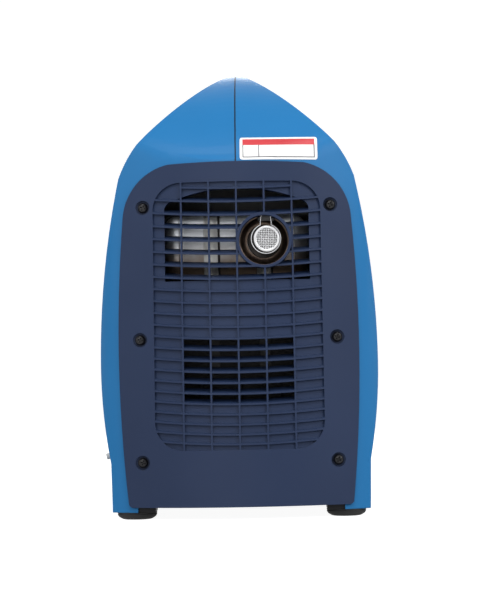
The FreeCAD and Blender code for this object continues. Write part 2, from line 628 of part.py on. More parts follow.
def hatch_prism(gap):
    """The prism of the maintenance opening, drawn in by gap."""
    return side_prism(
        -1, S.hatch_y, S.hatch_half - gap, S.hatch_low + gap, S.hatch_high - gap,
        S.hatch_corner - gap, S.hatch_deep,
    )


def drain_line():
    """The outer end of the drain spout's axis, and its way down and outwards."""
    angle = math.radians(S.drain_tilt)
    end = Vector(S.drain_inset - S.case_half, S.drain_y, S.drain_z)
    return end, Vector(-math.cos(angle), 0, -math.sin(angle))


def casing_walls():
    """Both casings in one: the moulded walls with their openings, wells and screw bosses."""
    wall = S.case_wall
    filler = Vector(0, S.filler_y, S.well_floor)
    outside = case_form(0.0).cut(hand_hole(0.0)).cut(grip_pocket(0.0))
    outside = outside.cut(rod(S.well_radius, filler, S.case_high, UP))
    inside = case_form(wall).cut(hand_hole(wall)).cut(grip_pocket(wall))
    inside = inside.cut(rod(S.well_radius + wall, filler - UP * wall, S.case_high, UP))
    reach = S.case_long
    inside = inside.common(block(-reach, reach, -reach, reach, S.floor_z, reach))
    walls = outside.cut(inside)
    bosses = []
    for x, z in SCREWS:
        y = face_y(x, z, S.cover_thick)
        boss = rod(S.screw_boss, Vector(x, y - S.over, z), S.over + S.screw_boss_deep, BACK)
        bosses.append(boss.common(outside))
    walls = walls.fuse(bosses).removeSplitter()
    cuts = [block(-S.base_half, S.base_half, -reach, reach, -10.0, S.floor_z)]
    cuts.append(rod(S.neck_radius + S.neck_gap, filler - UP * S.over, 2 * S.over, UP))
    for side in (-1, 1):
        ends = sorted((side * S.opening_reach, side * reach))
        cuts.append(rounded_prism(S.opening_half, S.opening_low, S.opening_high, S.opening_corner, *ends))
    cuts.append(hatch_prism(0.0))
    for x, z in SCREWS:
        y = face_y(x, z, S.cover_thick)
        cup = S.screw_well + S.screw_cup + S.fit_gap
        seat = S.screw_well_deep - S.cover_thick + S.screw_cup_floor + S.fit_gap
        cuts.append(rod(cup, Vector(x, y - S.over, z), S.over + seat, BACK))
        cuts.append(rod(S.screw_shank + S.screw_hole_gap, Vector(x, y, z), 4 * S.over, BACK))
    guide = Vector(S.pocket_floor - wall - S.over, S.starter_y, S.rope_z)
    cuts.append(rod(S.guide_radius + S.screw_hole_gap, guide, 2 * S.over, Vector(1, 0, 0)))
    end, way = drain_line()
    cuts.append(rod(S.drain_radius + S.fit_gap, end + way * S.over, S.drain_cut + S.over, way * -1))
    for cut in cuts:
        walls = walls.cut(cut)
    return walls


def half_space(side):
    reach = S.case_long
    ends = sorted((0.0, side * reach))
    return block(ends[0], ends[1], -reach, reach, -reach, reach)


CASING = casing_walls()
feature("left_casing", CASING.common(half_space(-1)))
feature("right_casing", CASING.common(half_space(1)))
HATCH_SKIN = case_form(0.0).cut(case_form(S.case_wall))


# ---------------------------------------------------------------- exhaust cover


def level_gaps(depth):
    """The gaps between the level ribs of the grille, as slanting slabs.

    The first level rib spans only between the two outermost upright ribs.
    """
    slope = math.tan(math.radians(S.rib_slant))
    front = face_y(0.0, S.cover_low) - S.over

    def slab(edge, foot, x0, x1):
        y_edge, y_foot = face_y(0.0, min(edge, S.grille_high)), face_y(0.0, foot)
        corners = [
            (front, edge - (y_edge - front) * slope),
            (y_edge + depth, edge + depth * slope),
            (y_foot + depth, foot + depth * slope),
            (front, foot - (y_foot - front) * slope),
        ]
        wire = Part.makePolygon([Vector(x0, y, z) for y, z in corners + corners[:1]])
        return Part.Face(wire).extrude(Vector(x1 - x0, 0, 0))

    edges, feet = [S.grille_high + S.over], []
    z = S.grille_high - S.rib_first
    for i in range(int(S.rib_count_z)):
        feet.append(z + S.rib_thick / 2)
        edges.append(z - S.rib_thick / 2)
        z -= S.rib_pitch_top - S.rib_pitch_step * i
    feet.append(S.grille_low - 2 * S.over)
    reach = S.grille_half + S.over
    last_rib = (S.rib_count_x - 1) / 2 * S.rib_pitch_x
    inner, outer = last_rib - S.rib_thick / 2, last_rib + S.rib_thick / 2
    slabs = [slab(edges[0], feet[1], x0, x1) for x0, x1 in ((-reach, -outer), (outer, reach))]
    slabs += [slab(edges[i], feet[i], -inner, inner) for i in range(2)]
    slabs += [slab(edge, foot, -reach, reach) for edge, foot in zip(edges[2:], feet[2:])]
    return slabs


def upright_gaps(field):
    """The field of the grille parted by its upright ribs."""
    count = int(S.rib_count_x)
    ribs = []
    for i in range(count):
        x = (i - (count - 1) / 2) * S.rib_pitch_x
        ribs.append(block(x - S.rib_thick / 2, x + S.rib_thick / 2, -S.case_long, 0.0, 0.0, S.case_high))
    return field.cut(ribs)


def window_prism(y0, y1):
    """A prism along Y of the upper window: square below, cut corners and a low arch above."""
    shoulder = Vector(S.window_half - S.window_cut, y0, S.window_side + S.window_rise)
    shoulder_left = Vector(-shoulder.x, y0, shoulder.z)
    right, right_top = Vector(S.window_half, y0, S.window_low), Vector(S.window_half, y0, S.window_side)
    left, left_top = Vector(-right.x, y0, right.z), Vector(-right_top.x, y0, right_top.z)
    edges = [
        Part.makeLine(left, right),
        Part.makeLine(right, right_top),
        bulged(right_top, shoulder, S.window_cut / 5),
        Part.Arc(shoulder, Vector(0, y0, S.window_high), shoulder_left).toShape(),
        bulged(shoulder_left, left_top, S.window_cut / 5),
        Part.makeLine(left_top, left),
    ]
    return Part.Face(Part.Wire(edges)).extrude(Vector(0, y1 - y0, 0))


def exhaust_cover():
    """The exhaust end cover: a curved plate with a grille, screw wells and the outlet's collar."""
    near, far = -S.case_long / 2 - S.over, -S.case_long / 2 + S.cover_reach
    skin = end_form(S.face_radius, 0.0, -1)
    plate = cover_outline(0.0, near, far).common(skin)
    plate = plate.cut(end_form(S.face_radius, S.cover_thick, -1))
    gap = S.seat_gap
    pan = rounded_prism(
        S.opening_half - gap, S.opening_low + gap, S.opening_high - gap, S.opening_corner - gap, near, far
    )
    pan = pan.common(end_form(S.face_radius, S.cover_thick / 2, -1))
    pan = pan.cut(end_form(S.face_radius, S.cover_thick + S.grille_back, -1))
    parts = [pan]
    for x, z in SCREWS:
        y = face_y(x, z)
        deep = S.screw_well_deep + S.screw_cup_floor
        cup = rod(S.screw_well + S.screw_cup, Vector(x, y - S.over, z), S.over + deep, BACK)
        parts.append(cup.common(skin))
    foot_y = face_y(S.outlet_x, S.outlet_z - S.outlet_radius)
    outlet = Vector(S.outlet_x, foot_y - S.outlet_proud, S.outlet_z)
    parts.append(rod(S.outlet_radius, outlet, S.outlet_deep, BACK))
    cover = plate.fuse(parts).removeSplitter()
    field = rounded_prism(S.grille_half, S.grille_low, S.grille_high, S.grille_corner, near, far)
    collar = rod(S.outlet_radius, Vector(S.outlet_x, near, S.outlet_z), S.case_long / 2, BACK)
    columns = upright_gaps(field.cut(collar))
    blind = columns.cut(end_form(S.face_radius, S.grille_deep, -1))
    window = window_prism(near, far)
    vent = rounded_prism(S.vent_half, S.vent_low, S.vent_high, S.vent_corner, near, far)
    through = columns.common(window.fuse(vent))
    cells = Part.Compound(level_gaps(S.grille_cut)).common(blind.fuse(through))
    cover = cover.cut(cells)
    for x, z in SCREWS:
        y = face_y(x, z)
        start = Vector(x, y - S.over, z)
        cover = cover.cut(rod(S.screw_well, start, S.over + S.screw_well_deep, BACK))
        cover = cover.cut(rod(S.screw_shank + S.screw_play, start, 4 * S.over, BACK))
    mouth = outlet - BACK * S.over
    return cover.cut(rod(S.outlet_radius - S.outlet_wall, mouth, S.outlet_deep + 2 * S.over, BACK))


feature("exhaust_cover", exhaust_cover())


# ---------------------------------------------------------------- helpers bound to the sheet

WORDS = {alias for alias, _, _ in SIZES + PLACES}
WAYS = {
    "Z": Rotation(),
    "X": Rotation(Vector(0, 1, 0), 90),
    "-X": Rotation(Vector(0, 1, 0), -90),
    "Y": Rotation(Vector(1, 0, 0), -90),
    "-Y": Rotation(Vector(1, 0, 0), 90),
}


def sized(text):
    """A formula over the sheet's words, in the form that an expression takes."""
    return re.sub(r"[a-z]\w*", lambda word: "Size." + word[0] if word[0] in WORDS else word[0], str(text))


def bind(piece, **formulas):
    for name, text in formulas.items():
        piece.setExpression(name, sized(text))
    return piece


def put(piece, x, y, z, way="Z"):
    """Places a piece by formulas, with its own Z axis turned to the given way."""
    piece.Placement = Placement(Vector(), WAYS[way])
    for axis, text in zip("xyz", (x, y, z)):
        piece.setExpression("Placement.Base." + axis, sized(text))
    return piece


def box(x0, x1, y0, y1, z0, z1):
    piece = doc.addObject("Part::Box", "Block")
    bind(piece, Length=f"({x1}) - ({x0})", Width=f"({y1}) - ({y0})", Height=f"({z1}) - ({z0})")
    return put(piece, x0, y0, z0)


def cylinder(radius, length, x, y, z, way="Z"):
    piece = doc.addObject("Part::Cylinder", "Rod")
    bind(piece, Radius=radius, Height=length)
    return put(piece, x, y, z, way)


def joined(*pieces):
    whole = doc.addObject("Part::MultiFuse", "Joined")
    whole.Shapes = list(pieces)
    whole.Refine = True
    return whole


def trimmed(base, *tools):
    for tool in tools:
        rest = doc.addObject("Part::Cut", "Trimmed")
        rest.Base = base
        rest.Tool = tool
        base = rest
    return base


def node(label, piece):
    """Makes a finished piece one of the sub-parts, under its own label."""
    piece.Label = label
    NODES.append(piece)
    return piece


def new_body(label):
    return doc.addObject("PartDesign::Body", label)


def new_sketch(body, role):
    sketch = body.newObject("Sketcher::SketchObject", body.Name + "_sketch")
    plane = next(item for item in body.Origin.OriginFeatures if item.Role == role)
    sketch.AttachmentSupport = [(plane, "")]
    sketch.MapMode = "FlatFace"
    return sketch


def hold(sketch, kind, where, text):
    """Adds a dimension from the origin to a point of a curve, or a radius, and binds it."""
    start = 10.0 if kind == "Radius" else 1.0
    count = sketch.addConstraint(Sketcher.Constraint(kind, *where, start))
    sketch.renameConstraint(count, f"{kind}_{count}")
    sketch.setExpression(f"Constraints.{kind}_{count}", sized(text))


def draw_polygon(sketch, outline):
    """A closed polygon through points given by formulas."""
    count = len(outline)
    guess = [Vector(20 * math.cos(2 * math.pi * i / count), 20 * math.sin(2 * math.pi * i / count), 0)
             for i in range(count)]
    first = sketch.GeometryCount
    for i in range(count):
        sketch.addGeometry(Part.LineSegment(guess[i], guess[(i + 1) % count]), False)
    for i in range(count):
        sketch.addConstraint(Sketcher.Constraint("Coincident", first + i, 2, first + (i + 1) % count, 1))
    for i, (x, y) in enumerate(outline):
        hold(sketch, "DistanceX", (-1, 1, first + i, 1), x)
        hold(sketch, "DistanceY", (-1, 1, first + i, 1), y)


def draw_circle(sketch, radius, x="0", y="0"):
    number = sketch.addGeometry(Part.Circle(Vector(1, 1, 0), Vector(0, 0, 1), 10.0), False)
    hold(sketch, "Radius", (number,), radius)
    hold(sketch, "DistanceX", (-1, 1, number, 3), x)
    hold(sketch, "DistanceY", (-1, 1, number, 3), y)


def draw_rectangle(sketch, x0, x1, y0, y1):
    draw_polygon(sketch, [(x0, y0), (x1, y0), (x1, y1), (x0, y1)])


def extrude(body, kind, sketch, length, flip=False, midplane=False):
    """A Pad or Pocket of a sketch; flip turns it to the other side of the sketch's plane."""
    step = body.newObject("PartDesign::" + kind, body.Name + "_" + kind.lower())
    step.Profile = sketch
    bind(step, Length=length)
    step.Reversed = flip
    step.Midplane = midplane
    return step


def spun(label, outline, x=None, y=None, z=None, way="Z"):
    """A turned piece: an outline of (radius, height) formulas, revolved about its own Z axis."""
    body = new_body(label)
    sketch = new_sketch(body, "XZ_Plane")
    draw_polygon(sketch, outline)
    turn = body.newObject("PartDesign::Revolution", label + "_turn")
    turn.Profile = sketch
    turn.ReferenceAxis = (sketch, ["V_Axis"])
    turn.Angle = 360.0
    return body if x is None else put(body, x, y, z, way)


def round_pattern(body, step, count):
    """Repeats a step of a body about its Z axis."""
    pattern = body.newObject("PartDesign::PolarPattern", body.Name + "_round")
    pattern.Originals = [step]
    axis = next(item for item in body.Origin.OriginFeatures if item.Role == "Z_Axis")
    pattern.Axis = (axis, [""])
    pattern.Angle = 360.0
    pattern.setExpression("Occurrences", sized(count))
    body.Tip = pattern
    return pattern


# ---------------------------------------------------------------- screws, feet and base


def cover_screws():
    """The six cap screws of the exhaust cover, each seated on the floor of its well."""
    screws = []
    for x, z in SCREWS:
        seat = face_y(x, z) + S.screw_well_deep
        head = rod(S.screw_head, Vector(x, seat - S.screw_head_high, z), S.screw_head_high, BACK)
        shank = rod(S.screw_shank, Vector(x, seat, z), S.screw_long, BACK)
        top = Vector(x, seat - S.screw_head_high - S.over, z)
        drive = rod(S.screw_drive, top, S.over + S.screw_drive_deep, BACK)
        screws.append(head.fuse(shank).cut(drive))
    return Part.Compound(screws)


feature("exhaust_cover_screws", cover_screws())

for end, sign_y in (("rear", "-"), ("front", "")):
    for flank, sign_x in (("left", "-"), ("right", "")):
        foot = spun(
            f"foot_{end}_{flank}",
            [
                ("0", "0"),
                ("foot_flat", "0"),
                ("(foot_flat + 2 * foot_radius) / 3", "0.2 * skirt_z"),
                ("(foot_flat + 6 * foot_radius) / 7", "0.45 * skirt_z"),
                ("foot_radius", "0.75 * skirt_z"),
                ("foot_radius", "skirt_z"),
                ("0", "skirt_z"),
            ],
            f"{sign_x}foot_x", f"{sign_y}foot_y", "0",
        )
        node(f"foot_{end}_{flank}", foot)

lugs = [
    box(x0, x1, f"{sign}foot_y - lug_long / 2", f"{sign}foot_y + lug_long / 2", "skirt_z", "floor_z + 1")
    for sign in ("-", "")
    for x0, x1 in (("-base_half", "lug_wide - base_half"), ("base_half - lug_wide", "base_half"))
]
plate = box(
    "-base_half - base_lap", "base_half + base_lap", "-base_long / 2", "base_long / 2",
    "floor_z", "seat_z",
)
node("base_plate", joined(plate, *lugs))


# ---------------------------------------------------------------- front cover and control plate


def panel_frame():
    """The control plate's own frame: X to the operator's right, Y up the plate, Z outwards."""
    lean = math.radians(S.face_lean)
    middle_z = (S.front_window_low + S.front_window_high) / 2
    middle = Vector(0, face_y(0, middle_z, 0, 1) - S.panel_inset, middle_z)
    right = Vector(-1, 0, 0)
    up = Vector(0, -math.sin(lean), math.cos(lean))
    out = Vector(0, math.cos(lean), math.sin(lean))
    return Placement(middle, Rotation(right, up, out, "ZXY"))


PANEL = panel_frame()


def on_panel(piece, u=0.0, v=0.0, out=0.0, turn=0.0):
    """Places a piece on the control plate, turned about the plate's X axis."""
    piece.Placement = PANEL * Placement(Vector(u, v, out), Rotation(Vector(1, 0, 0), turn))
    return piece


def front_cover():
    """The control end's cover: a curved plate, a well round the control window, intake louvres."""
    near, far = S.case_long / 2 - S.cover_reach, S.case_long / 2 + S.over
    skin = end_form(S.front_radius, 0.0, 1)
    plate = cover_outline(0.0, near, far).common(skin)
    plate = plate.cut(end_form(S.front_radius, S.cover_thick, 1))
    gap = S.seat_gap
    pan = rounded_prism(
        S.opening_half - gap, S.opening_low + gap, S.opening_high - gap, S.opening_corner - gap, near, far
    )
    pan = pan.common(end_form(S.front_radius, S.cover_thick / 2, 1))
    pan = pan.cut(end_form(S.front_radius, S.cover_thick + S.front_back, 1))
    low, high = S.front_window_low, S.front_window_high
    half, corner = S.front_window_half, S.front_window_corner
    grow = S.front_ring
    ring = rounded_prism(half + grow, low - grow, high + grow, corner + grow, near, far).common(skin)
    reach = S.case_high
    behind = block(-reach, reach, -reach, reach, -reach, 0.0)
    behind.Placement = PANEL
    ring = ring.cut(behind)
    cover = plate.fuse([pan, ring]).removeSplitter()
    cover = cover.cut(rounded_prism(half, low, high, corner, near - S.over, far))
    for i in range(int(S.louvre_count)):
        z = S.louvre_low + i * S.louvre_pitch
        slot = rounded_prism(S.louvre_half, z, z + S.louvre_open, S.louvre_open * 0.45, near, far)
        cover = cover.cut(slot)
    return cover


feature("front_cover", front_cover())

SOCKETS = (("a", "socket_a_u"), ("b", "socket_b_u"))

control = new_body("control_plate")
blank = new_sketch(control, "XY_Plane")
draw_rectangle(blank, "-panel_half", "panel_half", "-panel_high / 2", "panel_high / 2")
extrude(control, "Pad", blank, "panel_thick", flip=True)
sleeves = new_sketch(control, "XY_Plane")
draw_rectangle(sleeves, "eco_u - eco_wide / 2 - 2", "eco_u + eco_wide / 2 + 2",
               "eco_v - eco_high / 2 - 2", "eco_v + eco_high / 2 + 2")
draw_circle(sleeves, "button_radius + 2", "button_u", "button_v")
draw_circle(sleeves, "shaft_radius + 3", "knob_u", "knob_v")
extrude(control, "Pad", sleeves, "panel_thick + 8", flip=True)
holes = new_sketch(control, "XY_Plane")
for _, place_u in SOCKETS:
    draw_circle(holes, "socket_radius - 2.4", place_u, "socket_v")
draw_circle(holes, "shaft_radius + 0.05", "knob_u", "knob_v")
draw_circle(holes, "button_radius + 0.05", "button_u", "button_v")
draw_rectangle(holes, "eco_u - eco_wide / 2", "eco_u + eco_wide / 2", "eco_v - eco_high / 2", "eco_v + eco_high / 2")
draw_rectangle(holes, "dc_u - dc_wide / 2 + 1.5", "dc_u + dc_wide / 2 - 1.5",
               "dc_v - dc_high / 2 + 1.5", "dc_v + dc_high / 2 - 1.5")
for i in range(3):
    draw_circle(holes, "lamp_radius + 0.1", f"lamp_u + {i} * lamp_pitch", "lamp_v")
draw_circle(holes, "earth_radius / 2 + 0.2", "earth_u", "earth_v")
extrude(control, "Pocket", holes, "60", midplane=True)
pivots = new_sketch(control, "YZ_Plane")
draw_circle(pivots, "hinge_pin + shaft_gap", "eco_v", "-eco_pivot")
extrude(control, "Pocket", pivots, "4 * eco_u", midplane=True)
on_panel(control)
node("control_plate", control)


def lidded_socket(letter, place_u):
    """A round two-pin socket with a deep well, and its sprung lid on two ears above it."""
    socket = spun(
        f"ac_socket_{letter}",
        [
            ("0", "-socket_deep - 3"),
            ("socket_radius - 2.8", "-socket_deep - 3"),
            ("socket_radius - 2.8", "0"),
            ("socket_radius", "0"),
            ("socket_radius", "socket_rim"),
            ("socket_well", "socket_rim"),
            ("socket_well", "socket_rim - socket_deep"),
            ("0", "socket_rim - socket_deep"),
        ],
    )
    foot = new_sketch(socket, "XY_Plane")
    draw_rectangle(foot, "-9", "9", "socket_radius - 4", "socket_radius + 5")
    extrude(socket, "Pad", foot, "socket_rim")
    ears = new_sketch(socket, "XY_Plane")
    for x0, x1 in (("-9", "-6"), ("6", "9")):
        draw_rectangle(ears, x0, x1, "socket_radius - 0.2", "socket_radius + 5")
    extrude(socket, "Pad", ears, "socket_rim + hinge_out + 2")
    pin = new_sketch(socket, "YZ_Plane")
    draw_circle(pin, "hinge_pin", "socket_radius + 2.4", "socket_rim + hinge_out")
    extrude(socket, "Pad", pin, "17", midplane=True)
    pins = new_sketch(socket, "XY_Plane")
    for sign in ("-", ""):
        draw_circle(pins, "pin_radius", f"{sign}pin_pitch / 2", "0")
    extrude(socket, "Pocket", pins, "2 * socket_deep", midplane=True)
    on_panel(socket, getattr(S, place_u), S.socket_v)
    node(f"ac_socket_{letter}", socket)
    lid = new_body(f"socket_lid_{letter}")
    disc = new_sketch(lid, "XY_Plane")
    draw_circle(disc, "socket_radius - 0.5", "0", "-socket_radius - 2.4")
    extrude(lid, "Pad", disc, "lid_thick")
    web = new_sketch(lid, "XY_Plane")
    draw_rectangle(web, "-5.7", "5.7", "-8", "-0.4")
    extrude(lid, "Pad", web, "lid_thick")
    barrel = new_sketch(lid, "YZ_Plane")
    draw_circle(barrel, "hinge_radius", "0", "hinge_out")
    extrude(lid, "Pad", barrel, "11.4", midplane=True)
    tab = new_sketch(lid, "XY_Plane")
    draw_rectangle(tab, "-7", "7", "-2 * socket_radius - 5", "-2 * socket_radius + 4")
    extrude(lid, "Pad", tab, "lid_thick")
    bore = new_sketch(lid, "YZ_Plane")
    draw_circle(bore, "hinge_pin + shaft_gap", "0", "hinge_out")
    extrude(lid, "Pocket", bore, "30", midplane=True)
    on_panel(lid, getattr(S, place_u), S.socket_v + S.socket_radius + 2.4, S.socket_rim)
    node(f"socket_lid_{letter}", lid)


for letter, place_u in SOCKETS:
    lidded_socket(letter, place_u)

dc_socket = new_body("dc_socket")
for kind, margin, length, back in (("Pad", 0.0, "2", False), ("Pad", 1.8, "panel_thick + 12", True)):
    outline = new_sketch(dc_socket, "XY_Plane")
    draw_rectangle(outline, f"{margin} - dc_wide / 2", f"dc_wide / 2 - {margin}",
                   f"{margin} - dc_high / 2", f"dc_high / 2 - {margin}")
    extrude(dc_socket, kind, outline, length, flip=back)
mouth = new_sketch(dc_socket, "XY_Plane")
draw_rectangle(mouth, "3.5 - dc_wide / 2", "dc_wide / 2 - 3.5", "3 - dc_high / 2", "dc_high / 2 - 3")
extrude(dc_socket, "Pocket", mouth, "20", midplane=True)
node("dc_socket", on_panel(dc_socket, S.dc_u, S.dc_v))

button = spun(
    "breaker_button",
    [
        ("0", "-panel_thick - 5"),
        ("button_radius", "-panel_thick - 5"),
        ("button_radius", "button_travel + 2"),
        ("button_radius - 1", "button_travel + 3"),
        ("0", "button_travel + 3"),
    ],
)
node("breaker_button", on_panel(button, S.button_u, S.button_v))

rocker = new_body("eco_switch")
profile = new_sketch(rocker, "YZ_Plane")
draw_polygon(
    profile,
    [
        ("-eco_rocker", "eco_rise"),
        ("-eco_rocker", "-eco_rise / 2"),
        ("eco_rocker", "-eco_rise / 2"),
        ("eco_rocker", "eco_rise"),
        ("0", "eco_rise - 1"),
    ],
)
extrude(rocker, "Pad", profile, "eco_wide - 0.4", midplane=True)
axle = new_sketch(rocker, "YZ_Plane")
draw_circle(axle, "hinge_pin")
extrude(rocker, "Pad", axle, "eco_wide + 3.6", midplane=True)
node("eco_switch", on_panel(rocker, S.eco_u, S.eco_v, -S.eco_pivot, S.eco_tilt))

knob = spun(
    "run_knob",
    [
        ("0", "-panel_thick - 8"),
        ("shaft_radius", "-panel_thick - 8"),
        ("shaft_radius", "0"),
        ("knob_radius - 2", "0"),
        ("knob_radius", "2"),
        ("knob_radius", "knob_high / 2"),
        ("knob_radius - 1", "knob_high / 2 + 1"),
        ("0", "knob_high / 2 + 1"),
    ],
)
grip_bar = new_sketch(knob, "XY_Plane")
draw_rectangle(grip_bar, "-4.5", "4.5", "3 - knob_radius", "knob_radius - 3")
extrude(knob, "Pad", grip_bar, "knob_high")
node("run_knob", on_panel(knob, S.knob_u, S.knob_v))

lamps = new_body("lamp")
for radius, length, back in (("lamp_radius + 1", "1", False), ("lamp_radius", "panel_thick + 3", True)):
    lamp_rings = new_sketch(lamps, "XY_Plane")
    draw_circle(lamp_rings, radius)
    extrude(lamps, "Pad", lamp_rings, length, flip=back)
lamp_dome = new_sketch(lamps, "XY_Plane")
draw_circle(lamp_dome, "lamp_radius")
extrude(lamps, "Pad", lamp_dome, "2.2")
lamp_row = []
for i in range(3):
    lamp = doc.addObject("Part::Compound", f"lamp_{i}")
    lamp.Links = [lamps]
    lamp.Placement = PANEL * Placement(Vector(S.lamp_u + i * S.lamp_pitch, S.lamp_v, 0), Rotation())
    lamp_row.append(lamp)
lamp_set = doc.addObject("Part::Compound", "indicator_lamps")
lamp_set.Links = lamp_row
node("indicator_lamps", lamp_set)

earth = spun(
    "earth_terminal",
    [
        ("0", "-panel_thick - 8"),
        ("earth_radius / 2", "-panel_thick - 8"),
        ("earth_radius / 2", "0"),
        ("earth_radius + 1", "0"),
        ("earth_radius + 1", "1"),
        ("earth_radius / 2", "1"),
        ("earth_radius / 2", "9"),
        ("0", "9"),
    ],
)
nut = new_sketch(earth, "XY_Plane")
draw_polygon(
    nut, [(f"earth_radius * cos({60 * i})", f"earth_radius * sin({60 * i})") for i in range(6)]
)
extrude(earth, "Pad", nut, "6")
node("earth_terminal", on_panel(earth, S.earth_u, S.earth_v))


# ---------------------------------------------------------------- fuel system


def fuel_tank():
    """The tank under the roof, shaped to it, with the filler neck standing in the casings' well."""
    filler = Vector(0, S.filler_y, S.well_floor)
    space = block(-S.tank_half, S.tank_half, S.tank_back, S.tank_front, S.tank_low, S.case_high)
    tank = case_form(S.tank_gap).common(space)
    tank = tank.cut(hand_hole(S.case_wall))
    reach = S.case_long
    well = S.well_radius + S.case_wall + S.tank_clear
    floor = S.well_floor - S.case_wall - S.tank_clear
    tank = tank.cut(block(-reach, reach, S.filler_y - well, reach, floor, reach))
    root = filler - UP * 2 * S.over
    tank = tank.fuse(rod(S.neck_radius, root, 2 * S.over + S.neck_high, UP)).removeSplitter()
    return tank.cut(rod(S.neck_bore, filler - UP * S.neck_deep, S.case_high, UP))


feature("fuel_tank", fuel_tank())

gasket = spun(
    "fuel_cap_gasket",
    [
        ("neck_bore", "0"),
        ("neck_radius", "0"),
        ("neck_radius", "gasket_thick"),
        ("neck_bore", "gasket_thick"),
    ],
    "0", "filler_y", "well_floor + neck_high",
)
node("fuel_cap_gasket", gasket)

cap = spun(
    "fuel_cap",
    [
        ("vent_stem + shaft_gap", "0"),
        ("cap_radius - cap_skirt", "0"),
        ("cap_radius - cap_skirt", "fit_gap - gasket_thick"),
        ("cap_radius", "fit_gap - gasket_thick"),
        ("cap_radius", "cap_top - 1.5"),
        ("cap_radius - 1.5", "cap_top"),
        ("vent_stem + shaft_gap", "cap_top"),
    ],
    "0", "filler_y", "well_floor + neck_high + gasket_thick",
)
flute = new_sketch(cap, "XY_Plane")
draw_circle(flute, "2", "cap_radius + 1")
flute_cut = extrude(cap, "Pocket", flute, "4 * cap_top", midplane=True)
round_pattern(cap, flute_cut, "12")
node("fuel_cap", cap)

vent = spun(
    "vent_knob",
    [
        ("0", "-cap_top"),
        ("vent_stem", "-cap_top"),
        ("vent_stem", "0"),
        ("vent_knob_radius", "0"),
        ("vent_knob_radius", "vent_knob_high - 1"),
        ("vent_knob_radius - 1", "vent_knob_high"),
        ("0", "vent_knob_high"),
    ],
    "0", "filler_y", "well_floor + neck_high + gasket_thick + cap_top",
)
vent_grip = new_sketch(vent, "XY_Plane")
draw_rectangle(vent_grip, "-1.5", "1.5", "-vent_knob_radius - 2", "vent_knob_radius + 2")
extrude(vent, "Pad", vent_grip, "vent_knob_high - 1")
node("vent_knob", vent)


# ---------------------------------------------------------------- exhaust system


def drum(grow, half):
    """The silencer's round drum with domed ends, lying across the case, grown by grow."""
    radius, corner = S.muffler_radius + grow, S.muffler_round + grow
    k = corner * (1.0 - math.sqrt(0.5))
    middle = Vector(0, S.muffler_rear + S.muffler_radius, S.muffler_z)
    flat, dome = Vector(half, 0, radius - corner), Vector(half - k, 0, radius - k)
    shoulder = Vector(half - corner, 0, radius)
    points = [flat, dome, shoulder]
    left = [Vector(-p.x, 0, p.z) for p in points]
    centre, centre_left = Vector(half, 0, 0), Vector(-half, 0, 0)
    edges = [
        Part.makeLine(centre, flat),
        Part.Arc(*points).toShape(),
        Part.makeLine(shoulder, left[2]),
        Part.Arc(left[2], left[1], left[0]).toShape(),
        Part.makeLine(left[0], centre_left),
        Part.makeLine(centre_left, centre),
    ]
    whole = Part.Face(Part.Wire(edges)).revolve(Vector(), Vector(1, 0, 0), 360.0)
    whole.translate(middle)
    return whole


def muffler():
    """The hollow silencer: a drum with two straps, a pad for the tailpipe and an inlet stub."""
    straps = []
    middle_y = S.muffler_rear + S.muffler_radius
    for side in (-1, 1):
        start = Vector(side * S.strap_x - S.strap_wide / 2, middle_y, S.muffler_z)
        straps.append(rod(S.muffler_radius + S.strap_thick, start, S.strap_wide, Vector(1, 0, 0)))
    pad_at = Vector(S.pipe_x, S.muffler_rear, S.pipe_z)
    pad_radius = S.pipe_radius + S.pad_rim
    pad = rod(pad_radius, pad_at, S.muffler_radius, BACK)
    inlet_at = Vector(0, S.muffler_front, S.port_z)
    inlet = rod(S.port_radius + S.inlet_rim, inlet_at, S.muffler_radius, FRONT)
    whole = drum(0.0, S.muffler_half).fuse(straps + [pad, inlet]).removeSplitter()
    whole = whole.cut(rod(pad_radius, pad_at, S.over, FRONT))
    whole = whole.cut(drum(-S.muffler_wall, S.muffler_half - S.muffler_wall))
    bore = S.pipe_radius - S.pipe_wall
    whole = whole.cut(rod(bore, Vector(S.pipe_x, middle_y, S.pipe_z), S.muffler_radius + S.over, FRONT))
    return whole.cut(rod(S.port_radius, inlet_at, S.muffler_radius + S.over, FRONT))


def heat_shield():
    """A bent sheet over the front of the drum, standing on two spacers."""
    middle_y = S.muffler_rear + S.muffler_radius
    along = Vector(1, 0, 0)
    start = Vector(-S.shield_half, middle_y, S.muffler_z)
    long = 2 * S.shield_half
    inner = S.muffler_radius + S.shield_gap
    sheet_ring = rod(inner + S.shield_thick, start, long, along)
    sheet_ring = sheet_ring.cut(rod(inner, start - along * S.over, long + 2 * S.over, along))
    reach = S.case_half
    above = block(-reach, reach, middle_y, middle_y + reach, S.muffler_z + S.shield_foot, S.case_high)
    shield = sheet_ring.common(above)
    posts = []
    for side in (-1, 1):
        foot = Vector(side * S.spacer_x, middle_y + 2 * S.spacer_radius, S.muffler_z)
        posts.append(rod(S.spacer_radius, foot, S.muffler_radius + S.shield_gap + S.shield_thick / 2, UP))
    drum_room = rod(S.muffler_radius, start - along * S.over, long + 2 * S.over, along)
    return shield.fuse(posts).removeSplitter().cut(drum_room)


